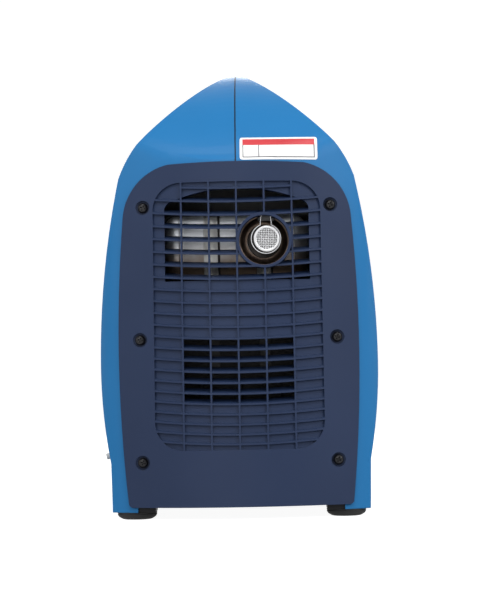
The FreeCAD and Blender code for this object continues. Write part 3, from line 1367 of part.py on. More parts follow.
def muffler_bracket():
    """A plate with a saddle under the drum, on two feet bolted to the crankcase."""
    middle_y = S.muffler_rear + S.muffler_radius
    top = S.muffler_z - S.muffler_radius
    half, thick = S.bracket_half, S.bracket_thick
    parts = [block(-half, half, middle_y - half / 2, S.case_rear, top - thick, top)]
    saddle = block(-half, half, middle_y - half / 2, middle_y + half / 2, top, top + S.saddle_high)
    parts.append(saddle)
    for side in (-1, 1):
        x = side * (half - S.bracket_foot / 2)
        foot = S.bracket_foot / 2
        parts.append(block(x - foot, x + foot, S.case_rear - thick, S.case_rear, top - S.bracket_drop, top))
    bed = rod(
        S.muffler_radius + S.strap_thick + S.fit_gap, Vector(-half - S.over, middle_y, S.muffler_z),
        2 * (half + S.over), Vector(1, 0, 0),
    )
    return parts[0].fuse(parts[1:]).removeSplitter().cut(bed)


feature("muffler", muffler())
feature("heat_shield", heat_shield())
feature("muffler_bracket", muffler_bracket())

elbow = spun(
    "exhaust_elbow",
    [
        ("port_radius", "0"),
        ("port_radius + 11", "0"),
        ("port_radius + 11", "5"),
        ("port_radius + 3", "7"),
        ("port_radius + 3", "bore_y - fin_half - muffler_front"),
        ("port_radius", "bore_y - fin_half - muffler_front"),
    ],
    "0", "bore_y - fin_half", "port_z", "-Y",
)
node("exhaust_elbow", elbow)

tailpipe = spun(
    "tailpipe",
    [
        ("pipe_radius - pipe_wall", "0"),
        ("pipe_radius + 5", "0"),
        ("pipe_radius + 5", "2"),
        ("pipe_radius", "3"),
        ("pipe_radius", "muffler_rear - dish_front - 1.5"),
        ("pipe_radius + 8", "muffler_rear - dish_front - 1.5"),
        ("pipe_radius + 8", "muffler_rear - dish_front"),
        ("pipe_radius", "muffler_rear - dish_front"),
        ("pipe_radius", "muffler_rear - pipe_rear"),
        ("pipe_radius - pipe_wall", "muffler_rear - pipe_rear"),
    ],
    "pipe_x", "muffler_rear", "pipe_z", "-Y",
)
node("tailpipe", tailpipe)

dish = spun(
    "outlet_dish",
    [
        ("dish_small - dish_thick", "0"),
        ("dish_small + dish_thick", "0"),
        ("outlet_radius - outlet_wall - fit_gap", "dish_deep - dish_thick"),
        ("outlet_radius - outlet_wall - fit_gap", "dish_deep"),
        ("outlet_radius - outlet_wall - fit_gap - dish_thick", "dish_deep"),
        ("dish_small", "dish_thick"),
        ("dish_small - dish_thick", "dish_thick"),
    ],
    "outlet_x", "dish_front", "outlet_z", "-Y",
)
node("outlet_dish", dish)

screen = spun(
    "spark_screen",
    [
        ("0", "0"),
        ("screen_ring", "0"),
        ("screen_ring", "-screen_ring"),
        ("pipe_radius + fit_gap", "-screen_ring"),
        ("pipe_radius + fit_gap", "-screen_thick"),
        ("0", "-screen_thick"),
    ],
    "pipe_x", "pipe_rear - screen_thick", "pipe_z", "-Y",
)
rim_cut = new_sketch(screen, "XY_Plane")
draw_circle(rim_cut, "screen_radius")
extrude(screen, "Pocket", rim_cut, "screen_thick / 2")
node("spark_screen", screen)

band = spun(
    "clamp_band",
    [
        ("screen_ring + fit_gap", "0"),
        ("screen_ring + fit_gap + clamp_thick", "0"),
        ("screen_ring + fit_gap + clamp_thick", "clamp_wide"),
        ("screen_ring + fit_gap", "clamp_wide"),
    ],
    "pipe_x", "pipe_rear + 4.5", "pipe_z", "-Y",
)
ears = [
    box(f"pipe_x + {x} - clamp_thick / 2", f"pipe_x + {x} + clamp_thick / 2", "pipe_rear + 4.5 - clamp_wide",
        "pipe_rear + 4.5", "pipe_z + screen_ring - 1", "pipe_z + screen_ring + clamp_ear")
    for x in ("clamp_gap / 2", "-clamp_gap / 2")
]
clamp_screw = cylinder("1.7", "clamp_gap + 8", "pipe_x - clamp_gap / 2 - 4", "pipe_rear + 4.5 - clamp_wide / 2",
                       "pipe_z + screen_ring + clamp_ear / 2 + 0.5", "X")
clamp_head = cylinder("2.4", "2.6", "pipe_x + clamp_gap / 2 + clamp_thick / 2",
                      "pipe_rear + 4.5 - clamp_wide / 2", "pipe_z + screen_ring + clamp_ear / 2 + 0.5", "X")
clamp_cut = cylinder("screen_ring + fit_gap", "clamp_wide + 2", "pipe_x", "pipe_rear + 6", "pipe_z", "-Y")
node("screen_clamp", trimmed(joined(band, clamp_screw, clamp_head, *ears), clamp_cut))


# ---------------------------------------------------------------- engine

shell = box("-case_x", "case_x", "case_rear", "case_front", "case_low", "case_top")
boss = cylinder("shaft_r + 14", "stator_rear - case_front", "0", "case_front", "crank_z", "Y")
oil_neck = cylinder("oil_radius", "26", "1 - case_x", "oil_y", "oil_z", "-X")
sump_ribs = [
    box(f"{x} - 2", f"{x} + 2", "case_rear - 4", "case_rear", "case_low", "case_top - 45")
    for x in ("-40", "0", "40")
]
chamber = box("case_shell - case_x", "case_x - case_shell", "case_rear + case_shell", "case_front - case_shell",
              "case_low + case_shell", "case_top - case_shell")
mouth_hole = cylinder("bore_radius", "60", "0", "bore_y", "case_top - 30")
bearing = cylinder("shaft_r + shaft_gap", "stator_rear - case_rear", "0", "case_rear + 3", "crank_z", "Y")
oil_bore = cylinder("oil_radius - 3.5", "60", "20 - case_x", "oil_y", "oil_z", "-X")
node("crankcase", trimmed(joined(shell, boss, oil_neck, *sump_ribs), chamber, mouth_hole, bearing, oil_bore))

oil_cap = spun(
    "oil_cap",
    [
        ("0", "-12"),
        ("oil_radius - 3.8", "-12"),
        ("oil_radius - 3.8", "0"),
        ("oil_cap_radius", "0"),
        ("oil_cap_radius", "5"),
        ("oil_cap_radius - 1", "6"),
        ("0", "6"),
    ],
    "-case_x - 25", "oil_y", "oil_z", "-X",
)
oil_grip = new_sketch(oil_cap, "XY_Plane")
draw_rectangle(oil_grip, "2 - oil_cap_radius", "oil_cap_radius - 2", "-2.5", "2.5")
extrude(oil_cap, "Pad", oil_grip, "14")
node("oil_cap", oil_cap)

barrel = cylinder("barrel_radius", "barrel_high", "0", "bore_y", "case_top")
fins = [
    box("-fin_half", "fin_half", "bore_y - fin_half", "bore_y + fin_half",
        f"case_top + fin_thick + {i} * fin_pitch", f"case_top + 2 * fin_thick + {i} * fin_pitch")
    for i in range(int(S.fin_count))
]
liner_bore = cylinder("bore_radius", "barrel_high + 2", "0", "bore_y", "case_top - 1")
node("cylinder", trimmed(joined(barrel, *fins), liner_bore))

head_core = box("8 - fin_half", "fin_half - 8", "bore_y - fin_half + 8", "bore_y + fin_half - 8",
                "head_z", "head_z + head_high")
head_fins = [
    box("-fin_half", "fin_half", "bore_y - fin_half", "bore_y + fin_half",
        f"head_z + {i} * fin_pitch", f"head_z + fin_thick + {i} * fin_pitch")
    for i in range(4)
]
port = "port_radius + 9"
exhaust_boss = box(f"-{port}", port, "bore_y - fin_half", "bore_y", f"port_z - {port} + 3", "head_z + head_high")
intake_boss = box("-fin_half", "0", "bore_y - 18", "bore_y + 18", f"port_z - {port} + 3", "head_z + head_high")
plug_boss = box("0", "fin_half", "bore_y - 12", "bore_y + 12", "head_z + 4", "head_z + head_high")
node("cylinder_head", joined(head_core, exhaust_boss, intake_boss, plug_boss, *head_fins))

rocker_plate = box("-32", "32", "bore_y - 26", "bore_y + 26", "rocker_z", "rocker_z + 4")
rocker_dome = box("-26", "26", "bore_y - 20", "bore_y + 20", "rocker_z", "rocker_z + rocker_high")
bolts = [
    cylinder("3", "7", f"{x}", f"bore_y + {y}", "rocker_z") for x in ("-29", "29") for y in ("-23", "23")
]
node("rocker_cover", joined(rocker_plate, rocker_dome, *bolts))

plug = spun(
    "spark_plug",
    [("0", "0"), ("9", "0"), ("9", "6"), ("5.5", "7"), ("5.5", "20"), ("3", "21"), ("3", "28"), ("0", "28")],
    "fin_half", "bore_y", "port_z", "X",
)
node("spark_plug", plug)
cap_body = spun(
    "plug_cap",
    [
        ("5.8", "-8"), ("9.5", "-8"), ("9.5", "12"), ("8.5", "13"), ("0", "13"), ("0", "6.5"), ("5.8", "6.5"),
    ],
    "fin_half + 21.5", "bore_y", "port_z", "X",
)
node("plug_cap", cap_body)

intake = spun(
    "intake_elbow",
    [
        ("port_radius", "0"), ("port_radius + 8", "0"), ("port_radius + 8", "5"), ("port_radius + 3", "6"),
        ("port_radius + 3", "19"), ("port_radius + 8", "20"), ("port_radius + 8", "25"), ("port_radius", "25"),
    ],
    "-fin_half", "bore_y", "port_z", "-X",
)
node("intake_elbow", intake)

throat = cylinder("port_radius + 7", "-fin_half - 25 - filter_right", "-fin_half - 25", "bore_y", "port_z", "-X")
bowl = cylinder("port_radius + 3", "34", "carb_x", "bore_y", "port_z - 34")
lever = box("carb_x - 2", "carb_x + 2", "bore_y", "bore_y + 24", "port_z - 3", "port_z + 3")
venturi = cylinder("port_radius", "40", "2 - fin_half - 25", "bore_y", "port_z", "-X")
node("carburettor", trimmed(joined(throat, bowl, lever), venturi))

filter_case = box("filter_left", "filter_right", "filter_rear", "filter_front", "filter_low", "filter_high")
filter_room = box("filter_left + filter_wall", "filter_right - filter_wall", "filter_rear + filter_wall",
                  "filter_front - filter_wall", "filter_low + filter_wall", "filter_high - filter_wall")
filter_port = cylinder("port_radius", "20", "filter_right + 5", "bore_y", "port_z", "-X")
node("air_filter_case", trimmed(filter_case, filter_room, filter_port))
element = box("filter_left + filter_wall", "filter_right - filter_wall - 10", "filter_rear + filter_wall + 1",
              "filter_front - filter_wall - 1", "filter_low + filter_wall", "filter_high - filter_wall - 1")
node("air_filter_element", element)

mounts = [
    cylinder("mount_radius", "case_low - seat_z", x, y, "seat_z")
    for x in ("-42", "42")
    for y in ("case_rear + 18", "case_front - 18")
]
node("engine_mounts", joined(*mounts))


def drain_spout():
    """A tube from the crankcase down through the left-hand wall, cut square to the crankcase."""
    end, way = drain_line()
    length = 2 * S.case_x
    tube = rod(S.drain_radius, end - way * length, length, way)
    tube = tube.cut(rod(S.drain_bore, end - way * (length + 5.0), length + 10.0, way))
    return tube.cut(block(-S.case_x, S.case_x, S.drain_y - 20.0, S.drain_y + 20.0, 0.0, S.case_top))


feature("drain_spout", drain_spout())


# ---------------------------------------------------------------- shaft, alternator, fan and starter

side = "(crank_half - web_thick)"
lengths = {
    "rear": ("case_rear + 3", f"bore_y - {side} - web_thick"),
    "front": (f"bore_y + {side} + web_thick", "fan_front + 4"),
}
journals = [
    cylinder("shaft_r", f"({y1}) - ({y0})", "0", y0, "crank_z", "Y") for y0, y1 in lengths.values()
]
webs = [
    cylinder("web_radius", "web_thick", "0", y0, "crank_z", "Y")
    for y0 in (f"bore_y - {side} - web_thick", f"bore_y + {side}")
]
throw = cylinder("crank_pin", f"2 * {side}", "0", f"bore_y - {side}", "crank_z + crank_throw", "Y")
node("crankshaft", joined(throw, *journals, *webs))

stator = spun(
    "stator",
    [
        ("shaft_r + 6", "0"),
        ("stator_radius", "0"),
        ("stator_radius", "rotor_front - rotor_wall - 4 - stator_rear"),
        ("shaft_r + 6", "rotor_front - rotor_wall - 4 - stator_rear"),
    ],
    "0", "stator_rear", "crank_z", "Y",
)
slot = new_sketch(stator, "XY_Plane")
draw_rectangle(slot, "stator_radius - 24", "stator_radius + 4", "-4", "4")
slot_cut = extrude(stator, "Pocket", slot, "200", midplane=True)
round_pattern(stator, slot_cut, "stator_teeth")
node("stator", stator)

rotor = spun(
    "rotor",
    [
        ("rotor_radius - rotor_wall", "0"),
        ("rotor_radius", "0"),
        ("rotor_radius", "rotor_front - rotor_rear"),
        ("shaft_r", "rotor_front - rotor_rear"),
        ("shaft_r", "rotor_front - rotor_rear - rotor_wall"),
        ("rotor_radius - rotor_wall", "rotor_front - rotor_rear - rotor_wall"),
    ],
    "0", "rotor_rear", "crank_z", "Y",
)
node("rotor", rotor)

fan = spun(
    "cooling_fan",
    [
        ("shaft_r", "0"),
        ("fan_radius", "0"),
        ("fan_radius", "2.5"),
        ("22", "2.5"),
        ("20", "fan_deep"),
        ("shaft_r", "fan_deep"),
    ],
    "0", "rotor_front", "crank_z", "Y",
)
blade = new_sketch(fan, "XY_Plane")
draw_polygon(blade, [("34", "0"), ("fan_radius", "14"), ("fan_radius - 1", "16.4"), ("33", "2.4")])
blade_pad = extrude(fan, "Pad", blade, "fan_deep")
round_pattern(fan, blade_pad, "fan_blades")
node("cooling_fan", fan)

shroud = spun(
    "shroud_ring",
    [
        ("shroud_radius", "0"),
        ("shroud_radius + shroud_wall", "0"),
        ("shroud_radius + shroud_wall", "shroud_front - rotor_rear"),
        ("recoil_radius - 14", "shroud_front - rotor_rear"),
        ("recoil_radius - 14", "shroud_front - rotor_rear - shroud_wall"),
        ("shroud_radius", "shroud_front - rotor_rear - shroud_wall"),
    ],
    "0", "rotor_rear", "crank_z", "Y",
)
pedestals = [
    box(f"{x} - 5", f"{x} + 5", "shroud_front - 40", "shroud_front", "seat_z", "crank_z - 60")
    for x in ("-34", "34")
]
shroud_room = cylinder("shroud_radius", "shroud_front - rotor_rear - shroud_wall", "0", "rotor_rear", "crank_z", "Y")
node("fan_shroud", trimmed(joined(shroud, *pedestals), shroud_room))

drum = spun(
    "recoil_drum",
    [
        ("post_radius + 0", "recoil_front - shroud_front - 3"),
        ("recoil_radius - 3", "recoil_front - shroud_front - 3"),
        ("recoil_radius - 3", "0"),
        ("recoil_radius + 12", "0"),
        ("recoil_radius + 12", "3"),
        ("recoil_radius", "3"),
        ("recoil_radius", "recoil_front - shroud_front"),
        ("0", "recoil_front - shroud_front"),
        ("0", "starter_y - pulley_thick / 2 - 4 - shroud_front"),
        ("post_radius", "starter_y - pulley_thick / 2 - 4 - shroud_front"),
    ],
    "0", "shroud_front", "crank_z", "Y",
)
rope_slot = box("recoil_radius - 40", "recoil_radius + 10", "starter_y - 5", "starter_y + 5",
                "crank_z + rope_reach - 5", "crank_z + rope_reach + 5")
node("recoil_housing", trimmed(drum, rope_slot))

pulley = spun(
    "recoil_pulley",
    [
        ("post_radius + shaft_gap", "0"),
        ("pulley_radius", "0"),
        ("pulley_radius", "2"),
        ("rope_reach - rope_radius", "pulley_thick / 2 - 2.2"),
        ("rope_reach - rope_radius", "pulley_thick / 2 + 2.2"),
        ("pulley_radius", "pulley_thick - 2"),
        ("pulley_radius", "pulley_thick"),
        ("post_radius + shaft_gap", "pulley_thick"),
    ],
    "0", "starter_y - pulley_thick / 2", "crank_z", "Y",
)
node("recoil_pulley", pulley)

spring = spun(
    "recoil_spring",
    [
        ("post_radius + 4", "0"),
        ("spring_radius", "0"),
        ("spring_radius", "recoil_front - 3 - starter_y - pulley_thick / 2 - 1"),
        ("post_radius + 4", "recoil_front - 3 - starter_y - pulley_thick / 2 - 1"),
    ],
    "0", "starter_y + pulley_thick / 2 + 1", "crank_z", "Y",
)
node("recoil_spring", spring)

guide = spun(
    "rope_guide",
    [
        ("rope_radius + 1", "-case_wall - 3"),
        ("guide_radius - 0.2", "-case_wall - 3"),
        ("guide_radius - 0.2", "0"),
        ("guide_radius + 3", "0"),
        ("guide_radius + 3", "2"),
        ("rope_radius + 1", "2"),
    ],
    "pocket_floor", "starter_y", "rope_z", "X",
)
node("rope_guide", guide)
node("starter_rope", cylinder("rope_radius", "pocket_floor + 6", "0", "starter_y", "rope_z", "X"))

grip_x = "pocket_floor + 2 + grip_round"
grip_bar = cylinder("grip_round", "2 * grip_half", grip_x, "starter_y", "rope_z - grip_half")
grip_neck = cylinder("grip_round - 2", "grip_round", "pocket_floor + 2", "starter_y", "rope_z", "X")
rope_socket = cylinder("rope_radius + 0.1", "4", "pocket_floor + 2", "starter_y", "rope_z", "X")
node("starter_grip", trimmed(joined(grip_bar, grip_neck), rope_socket))


# ---------------------------------------------------------------- inverter module

module = box("-inverter_half", "inverter_half", "inverter_rear + 14", "inverter_front",
             "seat_z", "seat_z + inverter_high")
heat_fins = [
    box(f"{i - (S.inverter_fins - 1) / 2} * inverter_half / 5 - 1.5",
        f"{i - (S.inverter_fins - 1) / 2} * inverter_half / 5 + 1.5",
        "inverter_rear", "inverter_rear + 14", "seat_z", "seat_z + inverter_high")
    for i in range(int(S.inverter_fins))
]
node("inverter_module", joined(module, *heat_fins))


# ---------------------------------------------------------------- maintenance cover and its latch


def maintenance_cover():
    """The cut-out piece of the left-hand wall, with a cup for its latch knob and two locating pegs."""
    cover = HATCH_SKIN.common(hatch_prism(S.hatch_gap))
    inward = Vector(1, 0, 0)
    knob_at = Vector(-S.case_half - S.over, S.hatch_y, S.latch_z)
    depth = S.latch_inset + S.over
    room = S.latch_radius + S.latch_gap
    cup = rod(room + S.latch_cup, knob_at, depth + S.latch_cup, inward)
    pegs = [
        rod(S.peg_radius, Vector(-S.case_half, S.hatch_y + side * S.peg_y, S.peg_z), S.peg_long, inward)
        for side in (-1, 1)
    ]
    solid = Part.Compound([cup] + pegs).common(case_form(0.0))
    cover = cover.fuse(solid).removeSplitter()
    cover = cover.cut(rod(room, knob_at, depth, inward))
    return cover.cut(rod(S.shaft_radius + S.shaft_gap, knob_at, depth + S.over, inward))


feature("maintenance_cover", maintenance_cover())

latch = spun(
    "latch_knob",
    [
        ("0", "-3.6"),
        ("latch_radius - 3", "-3.6"),
        ("latch_radius - 3", "-2.1"),
        ("shaft_radius", "-2.1"),
        ("shaft_radius", "0"),
        ("latch_radius", "0"),
        ("latch_radius", "latch_high - 1"),
        ("latch_radius - 1", "latch_high"),
        ("0", "latch_high"),
    ],
    "-latch_floor", "hatch_y", "latch_z", "-X",
)
coin_slot = new_sketch(latch, "XZ_Plane")
draw_rectangle(coin_slot, "-1", "1", "latch_high - 2", "latch_high + 2")
extrude(latch, "Pocket", coin_slot, "4 * latch_radius", midplane=True)
node("latch_knob", latch)


# ---------------------------------------------------------------- checks and files

doc.recompute()
faults = [item.Label for item in doc.Objects if {"Invalid", "Error"} & set(item.State)]
faults += [item.Label for item in NODES if item.Shape.isNull() or not item.Shape.isValid()]
if faults:
    raise RuntimeError("not well made: " + ", ".join(faults))
os.makedirs("parts", exist_ok=True)
for item in NODES:
    item.Shape.exportStep(f"parts/{item.Label}.step")
print(f"{len(NODES)} pieces written")
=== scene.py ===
"""Looks of a portable inverter generator in its carrying case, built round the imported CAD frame."""

import json
import logging
import math
from collections.abc import Iterable, Sequence
from dataclasses import dataclass, field, replace
from enum import Enum

import bmesh
import bpy
import numpy as np
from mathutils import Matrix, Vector
from mathutils.bvhtree import BVHTree

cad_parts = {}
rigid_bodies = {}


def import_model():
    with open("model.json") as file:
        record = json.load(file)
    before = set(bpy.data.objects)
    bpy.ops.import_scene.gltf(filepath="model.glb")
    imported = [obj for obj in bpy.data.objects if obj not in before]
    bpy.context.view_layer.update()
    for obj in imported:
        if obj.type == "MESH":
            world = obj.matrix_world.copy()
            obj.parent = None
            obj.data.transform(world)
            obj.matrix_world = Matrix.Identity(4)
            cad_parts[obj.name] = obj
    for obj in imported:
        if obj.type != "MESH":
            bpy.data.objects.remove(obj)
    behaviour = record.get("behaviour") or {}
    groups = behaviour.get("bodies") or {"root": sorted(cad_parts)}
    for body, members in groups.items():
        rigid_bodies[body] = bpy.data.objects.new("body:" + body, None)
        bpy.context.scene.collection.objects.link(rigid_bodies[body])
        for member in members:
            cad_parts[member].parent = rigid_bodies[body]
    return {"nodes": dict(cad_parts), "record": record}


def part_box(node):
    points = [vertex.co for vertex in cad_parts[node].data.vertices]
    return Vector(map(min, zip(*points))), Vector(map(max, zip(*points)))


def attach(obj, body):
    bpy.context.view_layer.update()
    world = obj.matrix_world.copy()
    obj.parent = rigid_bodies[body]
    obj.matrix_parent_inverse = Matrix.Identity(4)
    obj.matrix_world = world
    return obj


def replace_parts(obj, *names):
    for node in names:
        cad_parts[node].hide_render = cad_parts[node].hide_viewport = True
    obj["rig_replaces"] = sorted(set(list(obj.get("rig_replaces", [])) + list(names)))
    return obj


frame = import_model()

log = logging.getLogger("generator")

Colour = tuple[float, float, float]
Point = tuple[float, float, float]
Flat = tuple[float, float]
Profile = Sequence[Flat]
Mesh = bmesh.types.BMesh
Tree = bpy.types.NodeTree
Socket = bpy.types.NodeSocket
Feeds = dict[str | int, object]

MM = 0.001
WELD = 2e-6
TOUCH = 1e-6
ONE_PLANE = 0.3
AFAR = 400.0
CASE = "case_and_engine"
OUTWARD = Vector((0.0, -1.0, 0.0))
RIGHTWARD = Vector((1.0, 0.0, 0.0))
UPWARD = Vector((0.0, 0.0, 1.0))
PLAIN_EDGED = ("starter_rope", "drain_spout", "air_filter_element", "stator")
MIX_FIRST, MIX_SECOND, MIX_RESULT = 6, 7, 2
ROUGH_SPAN = 0.08
LEAST_ROUGH = 0.02
SMEARS_PER_CLOUD = 2.3
RELIEF_PER_GRAIN = 0.35
STRANDS_PER_GRAIN = 0.3
BRUSH_STRETCH = 0.04
WEAR_RANGE = (0.52, 0.62)


def feed(tree: Tree, node: bpy.types.Node, feeds: Feeds) -> None:
    """Gives a node's inputs their values and links.

    Args:
        tree: the node tree.
        node: the node.
        feeds: a value or another node's socket for each input.
    """
    for name, value in feeds.items():
        if isinstance(value, Socket):
            tree.links.new(value, node.inputs[name])
        else:
            node.inputs[name].default_value = value


def added(tree: Tree, kind: str, output: str, feeds: Feeds) -> Socket:
    """Adds a node.

    Args:
        tree: the node tree.
        kind: the node's kind.
        output: the output that is wanted.
        feeds: a value or another node's socket for each input.

    Returns:
        The socket of that output.
    """
    node = tree.nodes.new(f"ShaderNode{kind}")
    feed(tree, node, feeds)
    return node.outputs[output]


def maths(tree: Tree, operation: str, *terms: Socket | float) -> Socket:
    """Adds a calculation.

    Args:
        tree: the node tree.
        operation: what is calculated.
        terms: its values or sockets.

    Returns:
        The socket of the result.
    """
    node = tree.nodes.new("ShaderNodeMath")
    node.operation = operation
    feed(tree, node, dict(enumerate(terms)))
    return node.outputs[0]


def blend(tree: Tree, share: Socket, first: Socket | Colour, second: Socket | Colour) -> Socket:
    """Mixes two colours.

    Args:
        tree: the node tree.
        share: the share of the second.
        first: a colour or its socket.
        second: a colour or its socket.

    Returns:
        The socket of the mixture.
    """
    mix = tree.nodes.new("ShaderNodeMix")
    mix.data_type = "RGBA"
    pair = [part if isinstance(part, Socket) else (*part, 1.0) for part in (first, second)]
    feed(tree, mix, {"Factor": share, MIX_FIRST: pair[0], MIX_SECOND: pair[1]})
    return mix.outputs[MIX_RESULT]


class Grain(Enum):
    """What the fine relief of a finish looks like."""

    MOULDED = "fine sparked texture of a moulding"
    RUBBER = "soft open rubber skin"
    CAST = "coarse cast metal skin"
    BRUSHED = "fine lines along one axis"
    FOAM = "open cells"
    BRAID = "crossing strands"
    SMOOTH = "nearly even, with faint waves"


@dataclass(frozen=True)
class Finish:
    """One finish: its colours, gloss and fine relief.

    Attributes:
        name: the material's name.
        slot: the record's material slot that it stands for.
        colour: the main colour, linear RGB.
        shade: the second colour, in the broad cloudy variation.
        rough: mean roughness.
        metal: 0 for a dielectric and 1 for a metal.
        grain: the kind of fine relief.
        grain_mm: size of the relief's features.
        grain_depth: strength of the relief.
        round_mm: radius at which edges look rounded.
        specular: dielectric specular level.
        coat: clear coat weight.
        transmission: share of light passing through.
        cloud_mm: size of the broad variation.
        worn: how strongly edges are rubbed paler.
    """

    name: str
    slot: str
    colour: Colour
    shade: Colour
    rough: float = 0.5
    metal: float = 0.0
    grain: Grain = Grain.MOULDED
    grain_mm: float = 0.6
    grain_depth: float = 0.15
    round_mm: float = 0.5
    specular: float = 0.5
    coat: float = 0.0
    transmission: float = 0.0
    cloud_mm: float = 60.0
    worn: float = 0.0

    def build(self) -> bpy.types.Material:
        """Makes the node material, or returns the one already made.

        Returns:
            The material for this finish.
        """
        material = bpy.data.materials.get(self.name)
        if material is None:
            material = bpy.data.materials.new(self.name)
            material.use_nodes = True
            self._wire(material.node_tree)
        return material

    def _wire(self, tree: Tree) -> None:
        """Lays out the nodes: clouds of colour, wandering gloss, fine relief and rounded edges.

        Args:
            tree: the material's node tree.
        """
        place = added(tree, "TexCoord", "Object", {})
        scale = SMEARS_PER_CLOUD / (self.cloud_mm * MM)
        smear = added(tree, "TexNoise", "Fac", {"Vector": place, "Scale": scale, "Detail": 3.0})
        gloss = added(tree, "MapRange", "Result", {
            "Value": smear,
            "To Min": max(LEAST_ROUGH, self.rough - ROUGH_SPAN),
            "To Max": min(1.0, self.rough + ROUGH_SPAN),
        })
        edge = tree.nodes.new("ShaderNodeBevel")
        edge.samples = 6
        edge.inputs["Radius"].default_value = self.round_mm * MM
        relief = added(tree, "Bump", "Normal", {
            "Strength": self.grain_depth,
            "Distance": self.grain_mm * MM * RELIEF_PER_GRAIN,
            "Height": self._grain_height(tree, place),
            "Normal": edge.outputs["Normal"],
        })
        feed(tree, tree.nodes["Principled BSDF"], {
            "Base Color": self._worn(tree, self._clouds(tree, place)),
            "Metallic": self.metal,
            "Specular IOR Level": self.specular,
            "Coat Weight": self.coat,
            "Transmission Weight": self.transmission,
            "Roughness": gloss,
            "Normal": relief,
        })

    def _clouds(self, tree: Tree, place: Socket) -> Socket:
        """The broad variation between the two colours.

        Args:
            tree: the material's node tree.
            place: the object coordinates.

        Returns:
            The socket that carries the colour.
        """
        scale = 1.0 / (self.cloud_mm * MM)
        cloud = added(tree, "TexNoise", "Fac", {"Vector": place, "Scale": scale, "Detail": 5.0})
        colours = tree.nodes.new("ShaderNodeValToRGB")
        for stop, position, colour in zip(colours.color_ramp.elements, (0.3, 0.7), (self.shade, self.colour)):
            stop.position = position
            stop.color = (*colour, 1.0)
        feed(tree, colours, {"Fac": cloud})
        return colours.outputs["Color"]

    def _worn(self, tree: Tree, colour: Socket) -> Socket:
        """Rubs the outer edges a little paler.

        Args:
            tree: the material's node tree.
            colour: the unworn colour.

        Returns:
            The socket with the worn colour.
        """
        if self.worn <= 0.0:
            return colour
        rub = added(tree, "MapRange", "Result", {
            "Value": added(tree, "NewGeometry", "Pointiness", {}),
            "From Min": WEAR_RANGE[0],
            "From Max": WEAR_RANGE[1],
            "To Max": self.worn,
        })
        return blend(tree, rub, colour, tuple(min(1.0, 0.08 + 1.6 * part) for part in self.colour))

    def _grain_height(self, tree: Tree, place: Socket) -> Socket:
        """The height field of the fine relief.

        Args:
            tree: the material's node tree.
            place: the object coordinates.

        Returns:
            The socket that carries the height.
        """
        scale = 1.0 / (self.grain_mm * MM)
        stretch = (BRUSH_STRETCH if self.grain is Grain.BRUSHED else 1.0, 1.0, 1.0)
        where = added(tree, "Mapping", "Vector", {"Vector": place, "Scale": stretch})
        if self.grain is Grain.BRAID:
            strands = tree.nodes.new("ShaderNodeTexWave")
            strands.wave_type = "BANDS"
            strands.bands_direction = "DIAGONAL"
            feed(tree, strands, {"Vector": where, "Scale": scale * STRANDS_PER_GRAIN})
            return strands.outputs["Fac"]
        if self.grain in (Grain.RUBBER, Grain.FOAM):
            return added(tree, "TexVoronoi", "Distance", {"Vector": where, "Scale": scale})
        detail = 6.0 if self.grain is Grain.CAST else 2.5
        return added(tree, "TexNoise", "Fac", {"Vector": where, "Scale": scale, "Detail": detail})


@dataclass(frozen=True)
class BottomShadedSteel(Finish):
    """Bright steel with painted shade: browner and darker towards its bottom.

    Attributes:
        painted_shade: the brown colour of the painted shade at the bottom.
        low: height below which the painted shade is full.
        high: height above which there is no painted shade.
        drift: how far up and down the painted shade's edge wanders.
    """

    painted_shade: Colour = (0.22, 0.16, 0.12)
    low: float = 0.250
    high: float = 0.281
    drift: float = 0.012

    def _clouds(self, tree: Tree, place: Socket) -> Socket:
        """The clean metal's clouds, with painted shade that browns and darkens them towards the bottom.

        Args:
            tree: the material's node tree.
            place: the object coordinates.

        Returns:
            The socket that carries the colour.
        """
        blotch = added(tree, "TexNoise", "Fac", {"Vector": place, "Scale": 90.0, "Detail": 4.0})
        height = added(tree, "SeparateXYZ", "Z", {"Vector": place})
        # Painted shade: a brown colour is blended in by height, full at the drum's bottom and gone above it.
        heat = tree.nodes.new("ShaderNodeMapRange")
        heat.interpolation_type = "SMOOTHSTEP"
        level = maths(tree, "MULTIPLY_ADD", blotch, self.drift, height)
        feed(tree, heat, {"Value": level, "From Min": self.low, "From Max": self.high})
        return blend(tree, heat.outputs["Result"], self.painted_shade, super()._clouds(tree, place))


BLUE = Finish("shell_blue", "blue_shell", (0.021, 0.170, 0.405), (0.018, 0.159, 0.382), rough=0.36,
    grain_mm=0.7, grain_depth=0.10, round_mm=1.2, specular=0.15, cloud_mm=140.0)
SLATE = Finish("cover_slate", "slate_cover", (0.0175, 0.0315, 0.077), (0.0150, 0.0275, 0.068), rough=0.48,
    grain_mm=0.5, grain_depth=0.12, round_mm=0.4, specular=0.2, cloud_mm=120.0)
BLACK = Finish("plain_black", "black_plastic", (0.011, 0.011, 0.013), (0.008, 0.008, 0.009), rough=0.45,
    grain_mm=0.5, specular=0.2)
PANEL = Finish("panel_grey", "panel_grey", (0.050, 0.055, 0.066), (0.042, 0.047, 0.056), round_mm=0.4)
RUBBER = Finish("black_rubber", "black_rubber", (0.008, 0.008, 0.009), (0.005, 0.005, 0.006), rough=0.66,
    grain=Grain.RUBBER, grain_mm=1.2, grain_depth=0.2, round_mm=0.8, specular=0.1)
COATED = Finish("black_coated_steel", "screw_black", (0.010, 0.010, 0.012), (0.006, 0.006, 0.008),
    rough=0.3, grain=Grain.SMOOTH, grain_depth=0.05, round_mm=0.2, specular=0.3, worn=0.05)
RED = Finish("signal_red", "red_plastic", (0.42, 0.018, 0.014), (0.34, 0.014, 0.012), rough=0.3,
    grain=Grain.SMOOTH, grain_depth=0.05)
LENS = Finish("lamp_green", "lamp_set", (0.08, 0.42, 0.06), (0.06, 0.33, 0.05), rough=0.12,
    grain=Grain.SMOOTH, grain_depth=0.03, round_mm=0.3, coat=0.6)
